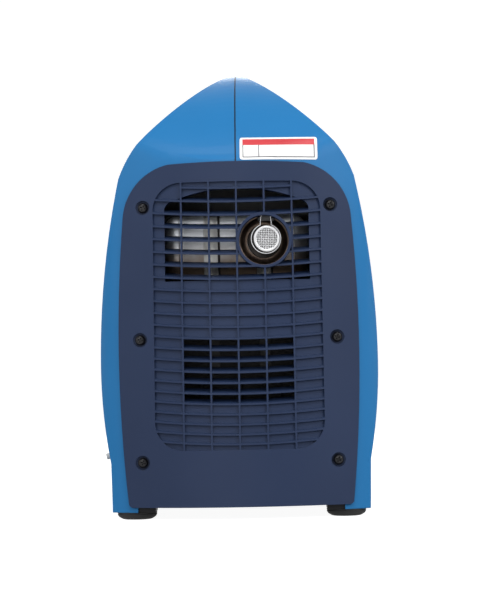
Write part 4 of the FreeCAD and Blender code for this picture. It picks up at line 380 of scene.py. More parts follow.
AMBER = replace(LENS, name="lamp_amber", colour=(0.62, 0.24, 0.02), shade=(0.52, 0.19, 0.02))
LAMP_RED = replace(LENS, name="lamp_red", colour=(0.55, 0.02, 0.02), shade=(0.45, 0.015, 0.015))
TANK = Finish("tank_natural", "natural_tank", (0.20, 0.20, 0.19), (0.16, 0.16, 0.15), rough=0.45,
    round_mm=2.0)
# The drum's finish paints shade: brown and darker towards its bottom.
DRUM = BottomShadedSteel("drum_steel", "satin_steel", (0.80, 0.83, 0.86), (0.66, 0.69, 0.72), rough=0.40,
    metal=0.6, grain=Grain.BRUSHED, grain_mm=0.8, grain_depth=0.06, cloud_mm=30.0)
SATIN = Finish("satin_steel", "satin_steel", (0.50, 0.51, 0.52), (0.38, 0.38, 0.38), rough=0.3, metal=1.0,
    grain=Grain.BRUSHED, grain_mm=0.8, grain_depth=0.08, round_mm=0.8, cloud_mm=45.0)
TINTED = Finish("heat_tinted_steel", "heat_steel", (0.21, 0.150, 0.112), (0.060, 0.044, 0.037), rough=0.30,
    metal=0.9, grain=Grain.SMOOTH, grain_depth=0.08, round_mm=0.4, cloud_mm=16.0)
BRIGHT = Finish("bright_steel", "bright_steel", (0.78, 0.79, 0.80), (0.66, 0.67, 0.68), rough=0.24,
    metal=1.0, grain=Grain.SMOOTH, grain_depth=0.06, round_mm=0.25)
# Dark sooted steel for the tailpipe's soot; the same finish paints shade behind the arrestor screen and a
# shadow beside each muffler strap.
SOOT_AND_SHADE = Finish("soot_and_shade_steel", "bright_steel", (0.050, 0.043, 0.040), (0.020, 0.018, 0.018), metal=0.7,
    grain=Grain.CAST, grain_mm=0.8, grain_depth=0.3, round_mm=0.3, cloud_mm=12.0)
SHEET_BLACK = Finish("black_sheet_steel", "painted_black_metal", (0.02, 0.02, 0.02), (0.013, 0.013, 0.013),
    rough=0.4, grain=Grain.SMOOTH, round_mm=0.6)
PLATED = Finish("plated_screw", "screw_black", (0.62, 0.60, 0.52), (0.52, 0.50, 0.44), rough=0.3, metal=1.0,
    grain=Grain.SMOOTH, grain_depth=0.04, round_mm=0.3)
CAST = Finish("cast_aluminium", "cast_alu", (0.045, 0.045, 0.046), (0.030, 0.030, 0.031), rough=0.55,
    metal=0.4, grain=Grain.CAST, grain_mm=1.4, grain_depth=0.3, round_mm=1.0)
COPPER = Finish("copper_windings", "stator_copper", (0.42, 0.16, 0.06), (0.30, 0.11, 0.05), rough=0.35,
    metal=0.9, grain=Grain.BRAID, grain_mm=1.2, grain_depth=0.4, round_mm=0.6)
FOAM = Finish("filter_foam", "filter_foam", (0.045, 0.045, 0.045), (0.025, 0.025, 0.025), rough=0.95,
    grain=Grain.FOAM, grain_mm=1.6, grain_depth=0.8, specular=0.2)
CERAMIC = Finish("white_ceramic", "ceramic_white", (0.74, 0.74, 0.71), (0.66, 0.66, 0.63), rough=0.18,
    grain=Grain.SMOOTH, grain_depth=0.03, round_mm=0.4)
CORD = Finish("braided_cord", "cord_fibre", (0.045, 0.045, 0.047), (0.025, 0.025, 0.027), rough=0.85,
    grain=Grain.BRAID, grain_mm=1.1, grain_depth=0.7, round_mm=0.2)
TUBE = Finish("clear_tube", "clear_tube", (0.80, 0.84, 0.84), (0.72, 0.78, 0.78), rough=0.12,
    grain=Grain.SMOOTH, grain_depth=0.02, round_mm=0.2, transmission=0.75)
LABEL = Finish("label_film", "ceramic_white", (0.84, 0.84, 0.83), (0.80, 0.80, 0.79), rough=0.32,
    grain=Grain.SMOOTH, grain_depth=0.03, round_mm=0.1)
LABEL_RED = Finish("label_red", "red_plastic", (0.60, 0.035, 0.045), (0.52, 0.030, 0.038), rough=0.35,
    grain=Grain.SMOOTH, grain_depth=0.03, round_mm=0.05)
LABEL_INK = Finish("label_ink", "black_plastic", (0.030, 0.030, 0.045), (0.022, 0.022, 0.034), rough=0.4,
    grain=Grain.SMOOTH, grain_depth=0.02, round_mm=0.05)

FINISHES = {finish.slot: finish for finish in (
    BLUE, SLATE, BLACK, PANEL, RUBBER, COATED, RED, LENS, TANK, SATIN, TINTED, BRIGHT, SHEET_BLACK, CAST,
    COPPER, FOAM, CERAMIC, CORD, TUBE)}


def body_holding(node: str) -> str:
    """The CAD body that a node belongs to."""
    return next(b for b, members in frame["record"]["behaviour"]["bodies"].items() if node in members)


def basis(axis: Vector) -> tuple[Vector, Vector]:
    """Two directions across an axis.

    Args:
        axis: the axis.

    Returns:
        Two unit vectors square to the axis and to each other.
    """
    hint = UPWARD if abs(axis.normalized().z) < 0.9 else RIGHTWARD
    across = axis.cross(hint).normalized()
    return across, across.cross(axis).normalized()


def limited(value: float) -> float:
    """The value, kept between 0 and 1."""
    return max(0.0, min(1.0, value))


def root(box: tuple[Vector, Vector]) -> tuple[Vector, float]:
    """The middle of a box's inner end, and the box's length towards the exhaust end in millimetres."""
    low, high = box
    return Vector(((low.x + high.x) / 2.0, high.y, (low.z + high.z) / 2.0)), (high.y - low.y) / MM


def placed(name: str, data: bpy.types.ID) -> bpy.types.Object:
    """Puts data into the scene.

    Args:
        name: the new object's name.
        data: its mesh, lamp or camera.

    Returns:
        The object.
    """
    made = bpy.data.objects.new(name, data)
    bpy.context.scene.collection.objects.link(made)
    return made


def welded(node: str) -> Mesh:
    """A CAD node's own mesh, with its points joined.

    Args:
        node: the CAD node's name.

    Returns:
        The mesh.
    """
    mesh = bmesh.new()
    mesh.from_mesh(frame["nodes"][node].data)
    bmesh.ops.remove_doubles(mesh, verts=mesh.verts, dist=WELD)
    return mesh


class Form:
    """A mesh under construction, in metres, which becomes one piece of the object."""

    def __init__(self, mesh: Mesh | None = None) -> None:
        """Starts with a given mesh or an empty one."""
        self.mesh = bmesh.new() if mesh is None else mesh

    def skin(self, rows: Sequence[Sequence[Vector]], shut: bool = False, capped: bool = False) -> "Form":
        """Joins successive closed rows of points with faces.

        Args:
            rows: rows with the same count of points.
            shut: the last row joins the first.
            capped: the first and last row are filled.

        Returns:
            This form.
        """
        made = [[self.mesh.verts.new(point) for point in row] for row in rows]
        for i in range(len(made) if shut else len(made) - 1):
            here, there = made[i], made[(i + 1) % len(made)]
            for j in range(len(here)):
                k = (j + 1) % len(here)
                self.mesh.faces.new((here[j], here[k], there[k], there[j]))
        for row in (rows[0], rows[-1]) if capped else ():
            self.mesh.faces.new([self.mesh.verts.new(point) for point in row])
        return self

    def turned(self, profile: Profile, centre: Vector, axis: Vector, steps: int = 96,
               shut: bool = True) -> "Form":
        """Turns a profile about an axis.

        Args:
            profile: radii and places along the axis, in millimetres.
            centre: the point of the axis at place 0.
            axis: the unit direction of the axis.
            steps: points round the axis.
            shut: the profile closes on itself.

        Returns:
            This form.
        """
        u, v = basis(axis)
        angles = [2.0 * math.pi * i / steps for i in range(steps)]
        rim = [u * math.cos(angle) + v * math.sin(angle) for angle in angles]
        return self.skin([[centre + (out * radius + axis * place) * MM for out in rim]
                          for radius, place in profile], shut=shut)

    def wire(self, path: Sequence[Vector], radius: float) -> None:
        """Adds a thin wire along a path.

        Args:
            path: points of its centre line, in metres.
            radius: its radius in millimetres.
        """
        steps = 6
        side = basis(path[1] - path[0])[0]
        rows = []
        for i, point in enumerate(path):
            along = (path[min(i + 1, len(path) - 1)] - path[max(i - 1, 0)]).normalized()
            side = (side - along * side.dot(along)).normalized()
            other = along.cross(side)
            rows.append([point + (side * math.cos(a) + other * math.sin(a)) * radius * MM
                         for a in (2.0 * math.pi * j / steps for j in range(steps))])
        self.skin(rows, capped=True)

    def piece(self, name: str, finish: Finish, stands_for: Iterable[str] = (), crease: float = 30.0,
              edge_mm: float = 0.0, body: str = CASE) -> None:
        """Makes the object, dresses it and puts it on its body.

        Args:
            name: the piece's name.
            finish: what it is finished in.
            stands_for: the CAD nodes that it replaces.
            crease: faces that meet at more than this many degrees keep a sharp edge.
            edge_mm: width of the rounding of sharp edges.
            body: the CAD body that it rides on.
        """
        bmesh.ops.remove_doubles(self.mesh, verts=self.mesh.verts, dist=WELD)
        bmesh.ops.recalc_face_normals(self.mesh, faces=self.mesh.faces)
        data = bpy.data.meshes.new(name)
        self.mesh.to_mesh(data)
        self.mesh.free()
        custom = data.attributes.get("custom_normal")
        if custom is not None:
            data.attributes.remove(custom)
        data.polygons.foreach_set("use_smooth", [True] * len(data.polygons))
        data.polygons.foreach_set("material_index", [0] * len(data.polygons))
        data.set_sharp_from_angle(angle=math.radians(crease))
        made = placed(name, data)
        data.materials.append(finish.build())
        if edge_mm > 0.0:
            rounding = made.modifiers.new("rounding", "BEVEL")
            rounding.width = edge_mm * MM
            rounding.segments = 2
            rounding.limit_method = "ANGLE"
            rounding.angle_limit = math.radians(crease)
            made.modifiers.new("even", "WEIGHTED_NORMAL")
        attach(made, body)
        if stands_for:
            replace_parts(made, *stands_for)
        log.info("%s", name)


@dataclass
class Skin:
    """A CAD node's own form, welded and smooth-shaded, that stands for the node.

    Attributes:
        node: the CAD node's name.
        finish: what it is finished in.
        crease: faces that meet at more than this many degrees keep a sharp edge.
        edge_mm: width of the rounding of its sharp edges.
    """

    node: str
    finish: Finish
    crease: float = 28.0
    edge_mm: float = 0.0

    def build(self) -> None:
        """Makes the piece, its flat areas whole where its edges are rounded."""
        mesh = welded(self.node)
        if self.edge_mm > 0.0:
            bmesh.ops.dissolve_limit(mesh, angle_limit=math.radians(ONE_PLANE), verts=mesh.verts,
                                     edges=mesh.edges)
        Form(mesh).piece(f"{self.node}_skin", self.finish, [self.node], self.crease, self.edge_mm,
                         body_holding(self.node))


@dataclass
class Casing:
    """The two blue half shells with the handle, and the lift-off maintenance cover with its latch.

    All lengths are in millimetres.

    Attributes:
        label_side: the label's inner and outer edge, from the middle.
        label_rise: its lower and upper edge, above the end cover's top.
        label_corner: radius of its corners.
        film: thickness of its film.
        print_lift: how far the print stands off the film.
        sunk: how far a plate reaches into what it lies on.
        margin: blank space to either side of the print.
        band_drop: lower and upper edge of the red band, under the label's upper edge.
        rule_rise: height of the low rule over the label's lower edge.
        rule: width of a rule.
        cell: width of the left cell.
        grid: pitch of the fine grid at the ends' crests.
        grid_foot: height at which that grid starts.
        grid_from: how far out and how high faces reach that get it.
        crest_from: how far out and how high the crests start.
        soft: width over which a crest is rounded.
        fade: distance over which the rounding dies out towards an end cover.
        fall: fall of the end slopes to either side, per millimetre.
        ridge_x: distance from the middle at which the slopes are measured.
        ridge_z: heights at which they are measured.
        ridge_tail: how far they are drawn on below the lowest of these.
        foot: distance from the middle and height at which the end walls are measured.
        lean: lean of the end walls, degrees.
        end_radius: plan radii of the end walls, by end.
        cover_flat: half width of the level top edge of an end cover.
        cover_corner: size of an end cover's top corners.
        seam: half width of the seam between the half shells.
        tongue: depth of the tongue in that seam.
    """

    label_side: Flat = (4.4, 80.6)
    label_rise: Flat = (1.4, 24.6)
    label_corner: float = 2.4
    film: float = 0.22
    print_lift: float = 0.16
    sunk: float = 0.1
    margin: float = 2.8
    band_drop: Flat = (8.0, 1.9)
    rule_rise: float = 2.2
    rule: float = 0.75
    cell: float = 15.5
    grid: float = 4.5
    grid_foot: float = 336.0
    grid_from: Flat = (120.0, 331.0)
    crest_from: Flat = (140.0, 330.0)
    soft: float = 9.0
    fade: float = 8.0
    fall: float = 0.08
    ridge_x: float = 8.0
    ridge_z: range = range(352, 446, 2)
    ridge_tail: float = 100.0
    foot: Flat = (104.0, 340.0)
    lean: float = 5.0
    end_radius: dict[int, float] = field(default_factory=lambda: {-1: 250.0, 1: 300.0})
    cover_flat: float = 66.5
    cover_corner: float = 46.0
    seam: float = 0.42
    tongue: float = 1.6

    def _refine(self, mesh: Mesh, side: int, end: int) -> None:
        """Divides the outer faces of an end's upper part into a fine grid.

        Args:
            mesh: a half shell's mesh.
            side: -1 for the left half and 1 for the right one.
            end: -1 for the exhaust end and 1 for the control end.
        """
        out, up = [part * MM for part in self.grid_from]
        faces = [face for face in mesh.faces if face.calc_center_median().y * end > out
                 and max(vert.co.z for vert in face.verts) > up and face.normal.y * end > 0.05]
        geom = faces + list(dict.fromkeys(edge for face in faces for edge in face.edges))
        geom += dict.fromkeys(vert for face in faces for vert in face.verts)
        cuts = [(RIGHTWARD * side * self.grid * i * MM, RIGHTWARD) for i in range(1, 30)]
        cuts += [(UPWARD * (self.grid_foot + self.grid * i) * MM, UPWARD) for i in range(26)]
        for place, normal in cuts:
            cut = bmesh.ops.bisect_plane(mesh, geom=geom, dist=TOUCH, plane_co=place, plane_no=normal)
            geom = cut["geom"]

    def _soften(self, mesh: Mesh, side: int, end: int) -> None:
        """Rounds the crest between an end wall and the slope over it.

        Args:
            mesh: a half shell's mesh.
            side: -1 for the left half and 1 for the right one.
            end: -1 for the exhaust end and 1 for the control end.
        """
        tree = BVHTree.FromBMesh(mesh)

        def reach(x: float, z: float) -> float:
            """How far out the shell's surface lies at a place, in millimetres."""
            hit = tree.ray_cast(Vector((side * x, end * AFAR, z)) * MM, Vector((0.0, -end, 0.0)))[0]
            return abs(hit.y) / MM

        heights = [self.ridge_z.start - self.ridge_tail, *self.ridge_z]
        reaches = [reach(self.ridge_x, z) for z in self.ridge_z]
        reaches.insert(0, reaches[0] + (reaches[0] - reaches[3]) / 3 * self.ridge_tail / self.ridge_z.step)
        foot_x, foot_z = self.foot
        radius = self.end_radius[end]
        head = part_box("exhaust_cover")[1].z / MM
        base = reach(foot_x, foot_z) + radius - math.sqrt(radius**2 - foot_x**2)
        lean = math.tan(math.radians(self.lean))
        self._refine(mesh, side, end)
        for vert in mesh.verts:
            x, y, z = abs(vert.co.x) / MM, vert.co.y * end / MM, vert.co.z / MM
            if y < self.crest_from[0] or z < self.crest_from[1]:
                continue
            wall = base - (radius - math.sqrt(radius**2 - x**2)) - (z - foot_z) * lean
            slope = np.interp(z + self.fall * (x - self.ridge_x), heights, reaches)
            near = max(0.0, self.soft - abs(wall - slope))
            corner = limited((x - self.cover_flat) / self.cover_corner)
            edge = head - self.cover_corner * (1.0 - math.sqrt(1.0 - corner**2))
            fade = limited((z - edge - 2.0) / self.fade)
            fade = fade * fade * (3.0 - 2.0 * fade)
            vert.co.y -= end * near**2 / (4.0 * self.soft) * fade * MM

    def _tongue(self, shell: Mesh) -> None:
        """The tongue that closes the seam a little under the surface, finished black as painted shade in the
        seam.

        Args:
            shell: the right half shell's mesh, whose flat joint faces lie on the middle plane.
        """
        mesh = shell.copy()
        other = [face for face in mesh.faces if any(abs(vert.co.x) > TOUCH for vert in face.verts)]
        bmesh.ops.delete(mesh, geom=other, context="FACES")
        rim = bmesh.ops.inset_region(mesh, faces=mesh.faces[:], thickness=self.tongue * MM,
                                     use_even_offset=True)["faces"]
        bmesh.ops.delete(mesh, geom=rim, context="FACES")
        grown = bmesh.ops.extrude_face_region(mesh, geom=mesh.faces[:])["geom"]
        front = {item for item in grown if isinstance(item, bmesh.types.BMVert)}
        for vert in mesh.verts:
            vert.co.x = (1 if vert in front else -1) * (self.seam + 0.2) * MM
        # Painted shade: the tongue is black so that the seam between the blue halves reads as a dark line.
        Form(mesh).piece("casing_tongue_painted_shade", BLACK)

    def shells(self) -> BVHTree:
        """The half shells and the cover in their side.

        Returns:
            The surface of the right half shell.
        """
        for side, node in ((-1, "left_casing"), (1, "right_casing")):
            mesh = welded(node)
            mesh.normal_update()
            for end in (-1, 1):
                self._soften(mesh, side, end)
            if side == 1:
                self._tongue(mesh)
            for vert in mesh.verts:
                if abs(vert.co.x) < TOUCH:
                    vert.co.x = side * self.seam * MM
            tree = BVHTree.FromBMesh(mesh)
            Form(mesh).piece(f"{node}_shell", BLUE, [node], crease=24.0)
        Skin("maintenance_cover", BLUE, crease=24.0, edge_mm=0.5).build()
        Skin("latch_knob", BLACK, edge_mm=0.3).build()
        return tree

    def _on_wall(self, tree: BVHTree, x: float, z: float, lift: float) -> Vector:
        """The point of the end wall behind a place, lifted off it.

        Args:
            tree: the shell's surface.
            x: distance from the middle.
            z: height.
            lift: how far off the wall.

        Returns:
            The point in metres.
        """
        hit, normal, _, _ = tree.ray_cast(Vector((x, -AFAR, z)) * MM, -OUTWARD)
        if normal.y > 0.0:
            normal = -normal
        return hit + normal * lift * MM

    def _plate(self, tree: BVHTree, low: Flat, high: Flat, under: float, over: float,
               corner: float = 0.0) -> Form:
        """A thin plate laid on the end wall.

        Args:
            tree: the shell's surface.
            low: its lower inner corner.
            high: its upper outer corner.
            under: height of its underside over the wall.
            over: height of its face over the wall.
            corner: radius of its corners.

        Returns:
            The plate's form.
        """
        columns = max(2, int((high[0] - low[0]) / 2.0))
        rows = max(2, int((high[1] - low[1]) / 0.8))
        stations = [low[0] + (high[0] - low[0]) * i / columns for i in range(columns + 1)]
        if corner > 0.0:
            for step in (0.1, 0.25, 0.5, 0.75):
                stations += [low[0] + corner * step, high[0] - corner * step]
        rings = []
        for x in sorted(stations):
            left = max(0.0, corner - min(x - low[0], high[0] - x))
            cut = corner - math.sqrt(max(0.0, corner**2 - left**2))
            bottom, top = low[1] + cut, high[1] - cut
            heights = [bottom + (top - bottom) * j / rows for j in range(rows + 1)]
            rings.append([self._on_wall(tree, x, z, over) for z in heights]
                         + [self._on_wall(tree, x, z, under) for z in reversed(heights)])
        return Form().skin(rings, capped=True)

    def label(self, tree: BVHTree) -> None:
        """A plain film label on the right half's end wall: white, with a red band and thin ruled lines.

        Args:
            tree: the surface of the right half shell.
        """
        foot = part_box("exhaust_cover")[1].z / MM
        low, high = [foot + rise for rise in self.label_rise]
        left, right = self.label_side
        self._plate(tree, (left, low), (right, high), -self.sunk, self.film, self.label_corner).piece(
            "label_film", LABEL, crease=50.0)
        left, right = left + self.margin, right - self.margin
        band_low, band_high = [high - drop for drop in self.band_drop]
        rule_low = low + self.rule_rise
        rule_high = rule_low + self.rule
        cell = left + self.cell
        under, over = self.film - self.sunk, self.film + self.print_lift
        for name, finish, corner_low, corner_high in (
            ("band", LABEL_RED, (left, band_low), (right, band_high)),
            ("rule_low", LABEL_INK, (left, rule_low), (right, rule_high)),
            ("rule_left", LABEL_INK, (left, rule_high), (left + self.rule, band_low)),
            ("rule_right", LABEL_INK, (right - self.rule, rule_high), (right, band_low)),
            ("rule_cell", LABEL_INK, (cell, rule_high), (cell + self.rule, band_low)),
        ):
            plate = self._plate(tree, corner_low, corner_high, under, over)
            plate.piece(f"label_{name}", finish, crease=50.0)

    def build(self) -> None:
        """Builds the shells and what lies on them."""
        self.label(self.shells())


@dataclass
class Screws:
    """The six recessed screws of the exhaust cover.

    All lengths are in millimetres.

    Attributes:
        head: radius of a head.
        high: height of a head.
        shank: radius of the shank.
        drive: half length of the cross recess.
        slot: half width of its arms.
        deep: depth of the recess.
        turn: turn of the recess, degrees.
    """

    head: float = 5.1
    high: float = 3.2
    shank: float = 2.1
    drive: float = 2.5
    slot: float = 0.6
    deep: float = 1.7
    turn: float = 20.0

    def _islands(self, node: str) -> list[list[Vector]]:
        """The separate solids of a CAD node.

        Args:
            node: the CAD node's name.

        Returns:
            The points of each solid.
        """
        mesh = welded(node)
        seen = set()
        found = []
        for first in mesh.verts:
            stack, group = [first], []
            while stack:
                vert = stack.pop()
                if vert not in seen:
                    seen.add(vert)
                    group.append(vert.co.copy())
                    stack += [edge.other_vert(vert) for edge in vert.link_edges]
            if group:
                found.append(group)
        mesh.free()
        return found

    def _head(self, form: Form, centre: Vector, axis: Vector, long: float) -> None:
        """Adds one screw: a domed head with a sunk cross, and its shank.

        Args:
            form: what it is added to.
            centre: the middle of the head's underside, in metres.
            axis: the direction out of the head.
            long: length of the shank.
        """
        u, v = basis(axis)
        arm, wide = self.drive, self.slot
        outline = []
        for quarter in range(4):
            turn = math.radians(90.0 * quarter + self.turn)
            cosine, sine = math.cos(turn), math.sin(turn)
            outline += [(a * cosine - b * sine, a * sine + b * cosine)
                        for a, b in ((arm, -wide), (arm, wide), (wide, wide))]

        def ring(place: float, radius: float = 0.0, share: float = 1.0) -> list[Vector]:
            """The recess's outline at a place along the axis, scaled, or pushed out to a radius."""
            sized = [(a, b, radius / math.hypot(a, b) if radius else share) for a, b in outline]
            return [centre + ((u * a + v * b) * scale + axis * place) * MM for a, b, scale in sized]

        top = self.high - 0.15
        crown = [(top, arm + 0.5), (self.high - 0.5, self.head * 0.75), (self.high - 1.1, self.head * 0.93),
                 (self.high - 1.9, self.head), (0.3, self.head), (0.0, self.head - 0.3), (0.0, self.shank),
                 (-long, self.shank)]
        form.skin([ring(self.high - self.deep, share=0.55), ring(top)]
                  + [ring(place, radius) for place, radius in crown], capped=True)

    def build(self) -> None:
        """Puts a screw in the place of each CAD one."""
        whole = Form()
        for points in self._islands("exhaust_cover_screws"):
            centre = sum(points, Vector()) / len(points)
            far = max(points, key=lambda p: p.y)
            end = [p for p in points if (p - far).length < 2.4 * self.shank * MM]
            tail = sum(end, Vector()) / len(end)
            axis = (centre - tail).normalized()
            long = max((p - tail).dot(axis) for p in points) / MM - self.high
            self._head(whole, tail + axis * long * MM, axis, long)
        whole.piece("exhaust_cover_screws", COATED, ["exhaust_cover_screws"], crease=35.0)


@dataclass
class Outlet:
    """The exhaust outlet in the grille: dish, tailpipe, arrestor with its woven screen, and clamp.

    All lengths are in millimetres.

    Attributes:
        dish_small: inner radius of the dish.
        dish_sheet: thickness of its sheet.
        pipe: outer radius of the tailpipe.
        pipe_wall: its wall.
        flange: radius of its flange.
        cup: outer radius of the arrestor's ring.
        eye: radius of the screen.
        pitch: pitch of its wires.
        wire: radius of its wires.
        bulge: how far the screen's middle stands out.
        band: radius of the clamp band.
        band_sheet: thickness of the band.
        band_wide: width of the band.
        ear: distance of the clamp's ears from the axis, sideways.
        ear_high: height of the ears' ends over the axis.
        clamp_aside: how far the clamp sits to the left.
        ease: rounding of the band's edges.
    """

    dish_small: float = 16.5
    dish_sheet: float = 0.8
    pipe: float = 11.0
    pipe_wall: float = 1.5
    flange: float = 19.0
    cup: float = 13.0
    eye: float = 10.2
    pitch: float = 1.7
    wire: float = 0.36
    bulge: float = 0.5
    band: float = 14.4
    band_sheet: float = 0.75
    band_wide: float = 5.0
    ear: float = 5.2
    ear_high: float = 21.5
    clamp_aside: float = 0.8
    ease: float = 0.15

    def dish(self) -> None:
        """The browned bowl between collar and pipe."""
        low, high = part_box("outlet_dish")
        centre, deep = root((low, high))
        radius = (high.x - low.x) / 2.0 / MM
        sheet = self.dish_sheet
        inside, outside = [], []
        steps = 14
        for i in range(steps + 1):
            angle = math.radians(90.0 * i / steps)
            r = self.dish_small + (radius - sheet - self.dish_small) * math.sin(angle)
            a = (deep - 0.6) * (1.0 - math.cos(angle))
            inside.append((r, a + sheet))
            outside.append((r + sheet * math.sin(angle), a + sheet * (1.0 - math.cos(angle))))
        lip = [(radius - sheet * 0.9, deep - 0.05), (radius - sheet * 0.3, deep)]
        Form().turned(inside[:-1] + lip + outside[::-1], centre, OUTWARD, steps=128).piece(
            "outlet_dish_bowl", TINTED, ["outlet_dish"], crease=50.0)

    def tailpipe(self) -> None:
        """The pipe with its flange and weld."""
        centre, long = root(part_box("tailpipe"))
        pipe, flange, bore = self.pipe, self.flange, self.pipe - self.pipe_wall
        profile = [(bore, 0.0), (flange - 0.6, 0.0), (flange, 0.6), (flange, 2.4), (flange - 0.6, 3.0),
                   (pipe + 1.8, 3.0), (pipe + 1.5, 3.7), (pipe + 0.6, 4.4), (pipe, 4.6), (pipe, long - 0.4),
                   (pipe - 0.4, long), (bore + 0.3, long), (bore, long - 0.3)]
        Form().turned(profile, centre, OUTWARD).piece("tailpipe_end", SOOT_AND_SHADE, ["tailpipe"], crease=35.0)

    def screen(self) -> None:
        """The arrestor's bright ring, with the woven wire in it and a dark sooted plate behind, which also
        paints the shade in the pipe's bore.
        """
        centre, long = root(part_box("spark_screen"))
        cup, eye, inner = self.cup, self.eye, self.pipe + 0.15
        profile = [(inner, 0.0), (cup - 0.3, 0.0), (cup, 0.3), (cup, long - 1.2), (cup - 0.4, long - 0.35),
                   (cup - 1.2, long), (eye + 0.7, long), (eye + 0.1, long - 0.4), (eye, long - 1.0),
                   (eye, long - 1.8), (inner, long - 1.8)]
        Form().turned(profile, centre, OUTWARD, steps=128).piece(
            "arrestor_ring", BRIGHT, ["spark_screen"], crease=40.0)
        face = centre + OUTWARD * (long - 1.35) * MM
        weave = Form()
        count = int(eye / self.pitch)
        for across, along, turn in ((RIGHTWARD, UPWARD, 1), (UPWARD, -RIGHTWARD, -1)):
            for k in range(-count, count + 1):
                offset = k * self.pitch
                half = math.sqrt(max(0.0, (eye + 0.2) ** 2 - offset**2))
                if half < 1.5:
                    continue
                points = []
                pieces = max(6, int(2 * half / self.pitch * 4))
                for i in range(pieces + 1):
                    place = -half + 2 * half * i / pieces
                    wave = math.cos(math.pi * place / self.pitch) * turn * (-1) ** k
                    dome = self.bulge * (1.0 - (place**2 + offset**2) / eye**2)
                    lift = self.wire * 0.9 * wave + dome
                    points.append(face + (along * offset + across * place + OUTWARD * lift) * MM)
                weave.wire(points, self.wire)
        weave.piece("arrestor_weave", BRIGHT, crease=60.0)
        # Soot and painted shade: a dark disc behind the weave stands for the soot and the shade inside the
        # pipe's bore.
        Form().turned([(0.0, -2.2), (eye + 0.1, -2.2), (eye + 0.1, -1.4), (0.0, -1.4)], face, OUTWARD,
                      shut=False).piece("arrestor_soot_and_shade", SOOT_AND_SHADE, crease=40.0)

    def clamp(self) -> None:
        """The thin band round the arrestor, its two upright ears and the black bolt through them."""
        axis = root(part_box("spark_screen"))[0] - RIGHTWARD * self.clamp_aside * MM
        axis.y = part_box("screen_clamp")[1].y - 0.0005
        ear, band = self.ear, self.band
        gap = math.degrees(math.asin(ear / band))
        path = [(1.2 - ear, self.ear_high + 1.5), (0.5 - ear, self.ear_high), (0.15 - ear, band + 4.0),
                (-ear - 0.2, band + 0.8)]
        steps = 72
        for i in range(steps + 1):
            angle = math.radians(90.0 + gap + (360.0 - 2 * gap) * i / steps)
            path.append((band * math.cos(angle), band * math.sin(angle)))
        path += [(-x, z) for x, z in reversed(path[:4])]
        front, ease = OUTWARD * self.band_wide, OUTWARD * self.ease
        rows = []
        for i, (x, z) in enumerate(path):
            before, after = path[max(0, i - 1)], path[min(len(path) - 1, i + 1)]
            along = Vector((after[0] - before[0], 0.0, after[1] - before[1])).normalized()
            thick = Vector((along.z, 0.0, -along.x)) * self.band_sheet / 2.0
            here = axis + Vector((x, 0.0, z)) * MM
            rows.append([here + point * MM for point in (
                thick + ease, front + thick - ease, front + thick * 0.6, front - thick * 0.6,
                front - thick - ease, ease - thick, -thick * 0.6, thick * 0.6)])
        Form().skin(rows, capped=True).piece("clamp_band", BRIGHT, ["screen_clamp"], crease=40.0)
        bolt_at = axis + (front / 2.0 + UPWARD * (self.ear_high - 1.5)) * MM
        bolt = Form()
        end = ear + 1.6
        shank = [(0.0, -end - 1.2), (1.4, -end - 1.2), (1.6, -end - 1.0), (1.6, end), (0.0, end)]
        nut = [(0.0, end - 1.4), (3.1, end - 1.4), (3.3, end - 1.2), (3.3, end + 1.0), (2.6, end + 1.5),
               (0.0, end + 1.5)]
        head = [(0.0, -end - 0.9), (3.2, -end - 0.9), (3.4, -end - 0.6), (3.4, 1.5 - end), (0.0, 1.5 - end)]
        for profile, steps in ((shank, 32), (nut, 6), (head, 32)):
            bolt.turned(profile, bolt_at, RIGHTWARD, steps=steps, shut=False)
        for vert in bmesh.ops.create_cube(bolt.mesh, size=2.0)["verts"]:
            vert.co = bolt_at + Vector((vert.co.x * (ear - 0.6), vert.co.y * 2.4, vert.co.z * 2.6)) * MM
        bolt.piece("clamp_bolt", COATED, crease=35.0)

    def build(self) -> None:
        """Builds the outlet from its bowl outwards."""
        self.dish()
        self.tailpipe()
        self.screen()
        self.clamp()


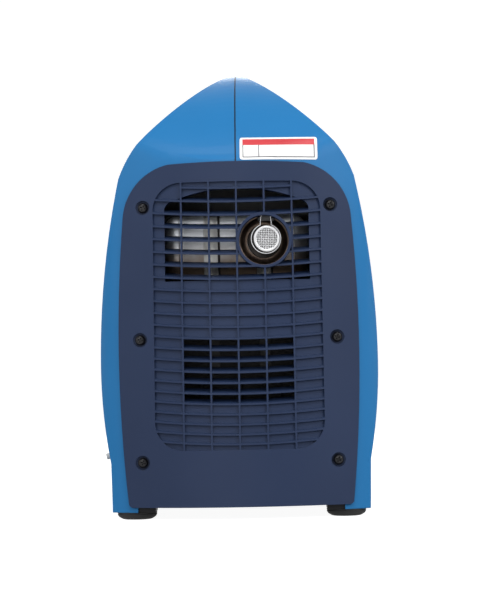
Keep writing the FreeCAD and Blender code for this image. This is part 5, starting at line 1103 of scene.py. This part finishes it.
@dataclass
class Silencer:
    """The muffler's drum behind the grille, with its straps, pad, heat shield and bracket.

    All lengths are in millimetres.

    Attributes:
        strap: thickness of a strap.
        strap_wide: width of a strap.
        strap_x: distance of the straps from the middle.
        strap_shadow: how far the painted shadow shows beside each strap.
        round_end: edge radii of the drum's left and right end.
        seam: height of the rolled seams near the ends.
        seam_x: distance of those seams from the middle.
        pad: radius of the tailpipe's pad.
        stub: radius of the inlet stub.
        press: how squarely the drum's half towards the grille is pressed over its axis, 2 for round.
        press_low: the same under its axis.
    """

    strap: float = 1.2
    strap_wide: float = 14.0
    strap_x: float = 26.0
    strap_shadow: float = 2.2
    round_end: Flat = (13.0, 20.0)
    seam: float = 0.9
    seam_x: float = 56.0
    pad: float = 18.0
    stub: float = 12.5
    press: float = 13.0
    press_low: float = 3.0

    def _flattened(self, form: Form, centre: Vector) -> Form:
        """Presses the half of a drum that faces the grille into a flatter curve of the same depth.

        Args:
            form: what is turned about the drum's axis.
            centre: a point of that axis.

        Returns:
            The same form.
        """
        for vert in form.mesh.verts:
            out, up = centre.y - vert.co.y, vert.co.z - centre.z
            reach = math.hypot(out, up)
            if out <= 0.0 or reach == 0.0:
                continue
            press = self.press if up > 0.0 else self.press_low
            wider = ((out / reach) ** press + (abs(up) / reach) ** press) ** (-1.0 / press)
            vert.co.y = centre.y - out * wider
            vert.co.z = centre.z + up * wider
        return form

    def _end(self, radius: float, half: float, curve: float) -> Profile:
        """The outline of one end of the drum, from its middle to its side.

        Args:
            radius: the drum's radius.
            half: half its length.
            curve: radius of the end's edge.

        Returns:
            The outline's points.
        """
        flat = radius - curve
        points = [(0.0, half - 1.6), (flat - 6.0, half - 1.6), (flat - 3.0, half - 0.3)]
        for i in range(11):
            angle = math.radians(9.0 * i)
            points.append((flat + curve * math.sin(angle), half - curve + curve * math.cos(angle)))
        return points

    def drum(self) -> None:
        """The drum, turned about the line across the case, with its seams, straps and a painted shadow beside
        each strap.
        """
        low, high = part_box("muffler")
        radius = (high.z - low.z) / 2.0 / MM - self.strap
        half = high.x / MM
        centre = Vector((0.0, low.y + (radius + self.strap) * MM, (low.z + high.z) / 2.0))
        left, right = [self._end(radius, half, curve) for curve in self.round_end]
        profile = right + [(r, -a) for r, a in reversed(left)]
        drum = Form().turned(profile, centre, RIGHTWARD, steps=160, shut=False)
        self._flattened(drum, centre).piece("muffler_drum", DRUM, ["muffler"], crease=50.0)
        wide, thick = self.strap_wide / 2.0, self.strap
        seam = [(-0.3, -1.6), (self.seam * 0.7, -0.9), (self.seam, 0.0), (self.seam * 0.7, 0.9), (-0.3, 1.6)]
        side = [(thick - 0.35, wide - 2.4), (thick, wide - 1.6), (thick, wide - 0.3), (thick - 0.3, wide),
                (-0.2, wide)]
        strap = [(r, -a) for r, a in reversed(side)] + side
        # Painted shadow: a dark strip under each strap shows on its right side, where the strap's shadow
        # falls.
        shown = wide + self.strap_shadow
        strap_shadow = [(-0.2, 1.0 - wide), (0.5, 1.0 - wide), (0.6, shown - 0.2), (-0.2, shown)]
        for name, finish, x, outline, crease in (("seams", DRUM, self.seam_x, seam, 60.0),
                                                 ("straps", SATIN, self.strap_x, strap, 40.0),
                                                 ("strap_shadows", SOOT_AND_SHADE, self.strap_x, strap_shadow, 40.0)):
            bands = Form()
            for place in (-x, x):
                bands.turned([(radius + r, place + a) for r, a in outline], centre, RIGHTWARD, steps=160)
            self._flattened(bands, centre).piece(f"muffler_{name}", finish, crease=crease)

    def stubs(self) -> None:
        """The pad under the tailpipe and the inlet stub on the drum's other side."""
        outlet, _ = root(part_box("tailpipe"))
        low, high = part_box("exhaust_elbow")
        inlet = Vector((0.0, low.y, (low.z + high.z) / 2.0))
        pad, stub = self.pad, self.stub
        sides = (
            (outlet, OUTWARD, [(pad + 1.5, -18.0), (pad + 0.3, -1.2), (pad, -0.3), (pad - 0.4, 0.0)]),
            (inlet, -OUTWARD, [(stub + 1.5, -18.0), (stub, -1.2), (stub, 0.0)]),
        )
        form = Form()
        for place, axis, outline in sides:
            form.turned([(0.0, -18.0), *outline, (0.0, 0.0)], place, axis, shut=False)
        form.piece("muffler_stubs", DRUM, crease=35.0)

    def build(self) -> None:
        """Builds the drum, and dresses the shield, elbow and bracket."""
        self.drum()
        self.stubs()
        Skin("heat_shield", SATIN, edge_mm=0.3).build()
        Skin("exhaust_elbow", SATIN, edge_mm=0.4).build()
        Skin("muffler_bracket", SHEET_BLACK, edge_mm=0.5).build()


@dataclass
class Feet:
    """The four rubber feet.

    All lengths are in millimetres.

    Attributes:
        flat: radius of the flat underside.
        hollow: radius and height of the hollow in its middle.
        groove: depth of the groove under the upper rim.
    """

    flat: float = 12.6
    hollow: Flat = (4.6, 0.9)
    groove: float = 0.45

    def build(self) -> None:
        """Turns each foot and puts it on its place."""
        for node in ("foot_front_left", "foot_front_right", "foot_rear_left", "foot_rear_right"):
            low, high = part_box(node)
            rim, top = (high.x - low.x) / 2.0 / MM, high.z / MM
            centre = Vector(((low.x + high.x) / 2.0, (low.y + high.y) / 2.0, 0.0))
            flat, deep = self.flat, rim - self.groove
            profile = [(0.0, self.hollow[1]), self.hollow, (self.hollow[0] + 0.6, 0.0), (flat, 0.0),
                       (flat + 1.6, 0.35), (flat + 3.4, 1.25), (rim - 1.3, 2.6), (rim - 0.35, 4.1),
                       (rim, 5.0), (deep, 5.35), (deep, 5.75), (rim, 6.1), (rim, top), (0.0, top)]
            foot = Form().turned(profile, centre, UPWARD, shut=False)
            foot.piece(f"{node}_pad", RUBBER, [node], crease=50.0)


@dataclass
class ControlEnd:
    """The control end: cover, plate, sockets and lids, switches, lamps and the earth terminal.

    Attributes:
        edge: width of the rounding of moulded edges, in millimetres.
    """

    edge: float = 0.3

    def lamps(self) -> None:
        """The three lens caps, each in its own colour."""
        source = welded("indicator_lamps")
        low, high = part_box("indicator_lamps")
        third = (high.x - low.x) / 3.0
        for i, (name, finish) in enumerate((("run", LENS), ("overload", AMBER), ("oil", LAMP_RED))):
            mesh = source.copy()
            start, stop = low.x + third * i, low.x + third * (i + 1)
            outside = [vert for vert in mesh.verts if not start <= vert.co.x <= stop]
            bmesh.ops.delete(mesh, geom=outside, context="VERTS")
            nodes = [] if i else ["indicator_lamps"]
            Form(mesh).piece(f"lamp_{name}", finish, nodes, crease=35.0, edge_mm=0.4)
        source.free()

    def build(self) -> None:
        """Dresses the control end's pieces."""
        Skin("front_cover", SLATE, edge_mm=self.edge).build()
        Skin("control_plate", PANEL, edge_mm=self.edge).build()
        for node in ("ac_socket_a", "ac_socket_b", "dc_socket", "socket_lid_a", "socket_lid_b", "eco_switch"):
            Skin(node, BLACK, edge_mm=self.edge).build()
        Skin("run_knob", RED, edge_mm=0.5).build()
        Skin("breaker_button", RED, edge_mm=0.4).build()
        Skin("earth_terminal", PLATED, edge_mm=self.edge).build()
        self.lamps()


@dataclass
class Insides:
    """Everything inside the case, the fuel system, and the small outer fittings, in their own forms.

    Attributes:
        edge: width of the rounding of their edges, in millimetres.
    """

    edge: float = 0.35

    def build(self) -> None:
        """Dresses each piece that no other class has built."""
        done = {name for made in bpy.data.objects for name in made.get("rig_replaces", [])}
        for part in frame["record"]["subparts"]:
            node = part["node"]
            if node not in done:
                edge = 0.0 if node in PLAIN_EDGED else self.edge
                Skin(node, FINISHES[part["material_slot"]], edge_mm=edge).build()


@dataclass(frozen=True)
class Lamp:
    """A square soft lamp.

    Attributes:
        name: its name.
        place: where it stands.
        aim: what it points at.
        size: its side.
        power: its watts.
    """

    name: str
    place: Point
    aim: Point
    size: float
    power: float

    def build(self) -> None:
        """Sets the lamp up."""
        data = bpy.data.lights.new(self.name, "AREA")
        data.size = self.size
        data.energy = self.power
        lamp = placed(self.name, data)
        lamp.location = self.place
        lamp.rotation_euler = (Vector(self.aim) - Vector(self.place)).to_track_quat("-Z", "Y").to_euler()


@dataclass
class Studio:
    """The plain pale room: floor, backdrop, lamps and camera. All lengths are in metres.

    Attributes:
        distance: from the exhaust end's face to the camera.
        aside: how far the camera stands to the right.
        eye: height of the camera.
        lens: focal length in millimetres on a 36 mm long side.
        tilt: upward tilt of the camera, degrees.
        yaw: turn of the camera to the left, degrees.
        roll: roll of the camera, degrees.
        reach: how far the floor reaches to the front and to either side, and the backdrop's height.
        bend: where the floor starts to curve up, and the radius of that curve.
        matt: brightness of the floor.
        glow: the light it sends to the camera.
        glossy_share: share of that light which reflections see.
        sky: the room's even light, and what the camera sees more of it.
    """

    distance: float = 2.016
    aside: float = 0.022
    eye: float = 0.130
    lens: float = 126.35
    tilt: float = 2.275
    yaw: float = 0.627
    roll: float = 1.067
    reach: float = 14.0
    bend: Flat = (7.0, 2.0)
    matt: float = 0.34
    glow: float = 0.94
    glossy_share: float = 0.8
    sky: Flat = (0.28, 0.80)

    def floor(self) -> None:
        """A large floor that curves up into the backdrop, white to the camera."""
        start, curve = self.bend
        angles = [math.radians(10 * i) for i in range(1, 10)]
        rows = [(-self.reach, 0.0), (start, 0.0)]
        rows += [(start + curve * math.sin(a), curve - curve * math.cos(a)) for a in angles]
        rows.append((start + curve, self.reach))
        mesh = bmesh.new()
        left, right = [[mesh.verts.new((x, y, z)) for y, z in rows] for x in (-self.reach, self.reach)]
        for i in range(len(rows) - 1):
            mesh.faces.new((left[i], right[i], right[i + 1], left[i + 1]))
        data = bpy.data.meshes.new("sweep")
        mesh.to_mesh(data)
        mesh.free()
        data.polygons.foreach_set("use_smooth", [True] * len(data.polygons))
        sweep = placed("sweep", data)
        data.materials.append(self._white())

    def _white(self) -> bpy.types.Material:
        """The floor's finish: a pale matt, plus light that only straight, glossy and passing rays see."""
        material = bpy.data.materials.new("pale_sweep")
        material.use_nodes = True
        tree = material.node_tree
        path = tree.nodes.new("ShaderNodeLightPath").outputs
        glossy = maths(tree, "MULTIPLY", path["Is Glossy Ray"], self.glossy_share)
        seen = maths(tree, "MAXIMUM", path["Is Camera Ray"], glossy)
        seen = maths(tree, "MAXIMUM", seen, path["Is Transmission Ray"])
        feed(tree, tree.nodes["Principled BSDF"], {
            "Base Color": (self.matt, self.matt, self.matt, 1.0),
            "Roughness": 0.9,
            "Specular IOR Level": 0.1,
            "Emission Color": (1.0, 1.0, 1.0, 1.0),
            "Emission Strength": maths(tree, "MULTIPLY", seen, self.glow),
        })
        return material

    def lights(self) -> None:
        """The lamps and the even light of the room."""
        heart = (0.0, 0.0, 0.25)
        for lamp in (
            Lamp("key", (2.3, -2.3, 1.7), heart, 1.5, 42.0),
            Lamp("fill", (-2.4, -2.0, 1.4), heart, 1.8, 20.0),
            Lamp("front", (-0.5, -3.4, 1.0), heart, 1.6, 22.0),
            Lamp("back", (0.3, 3.0, 1.3), (0.0, 0.0, 0.2), 1.4, 30.0),
            Lamp("right", (3.0, 0.5, 1.6), heart, 1.6, 34.0),
            Lamp("left", (-3.0, 0.9, 1.6), heart, 1.6, 26.0),
            Lamp("top", (0.0, -0.95, 1.40), (0.0, -0.1, 0.35), 0.8, 11.0),
        ):
            lamp.build()
        world = bpy.data.worlds.new("room")
        bpy.context.scene.world = world
        world.use_nodes = True
        tree = world.node_tree
        even, more = self.sky
        straight = tree.nodes.new("ShaderNodeLightPath").outputs["Is Camera Ray"]
        feed(tree, tree.nodes["Background"], {
            "Color": (0.94, 0.96, 1.0, 1.0),
            "Strength": maths(tree, "MULTIPLY_ADD", straight, more, even),
        })

    def camera(self) -> None:
        """The camera at the exhaust end, low and nearly level."""
        data = bpy.data.cameras.new("camera")
        data.lens = self.lens
        data.sensor_width = 36.0
        camera = placed("camera", data)
        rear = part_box("exhaust_cover")[0].y
        camera.location = (self.aside, rear - self.distance, self.eye)
        camera.rotation_euler = [math.radians(turn) for turn in (90.0 + self.tilt, self.roll, self.yaw)]
        bpy.context.scene.camera = camera

    def build(self) -> None:
        """Sets up the whole room."""
        self.floor()
        self.lights()
        self.camera()
        bpy.context.scene.view_settings.view_transform = "Standard"


def main() -> None:
    """Builds the pieces in order, then the room."""
    logging.basicConfig(level=logging.INFO, format="%(message)s")
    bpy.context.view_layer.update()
    Casing().build()
    Skin("exhaust_cover", SLATE, crease=35.0, edge_mm=0.3).build()
    Screws().build()
    Outlet().build()
    Silencer().build()
    Feet().build()
    ControlEnd().build()
    Insides().build()
    Studio().build()


if __name__ == "__main__":
    main()
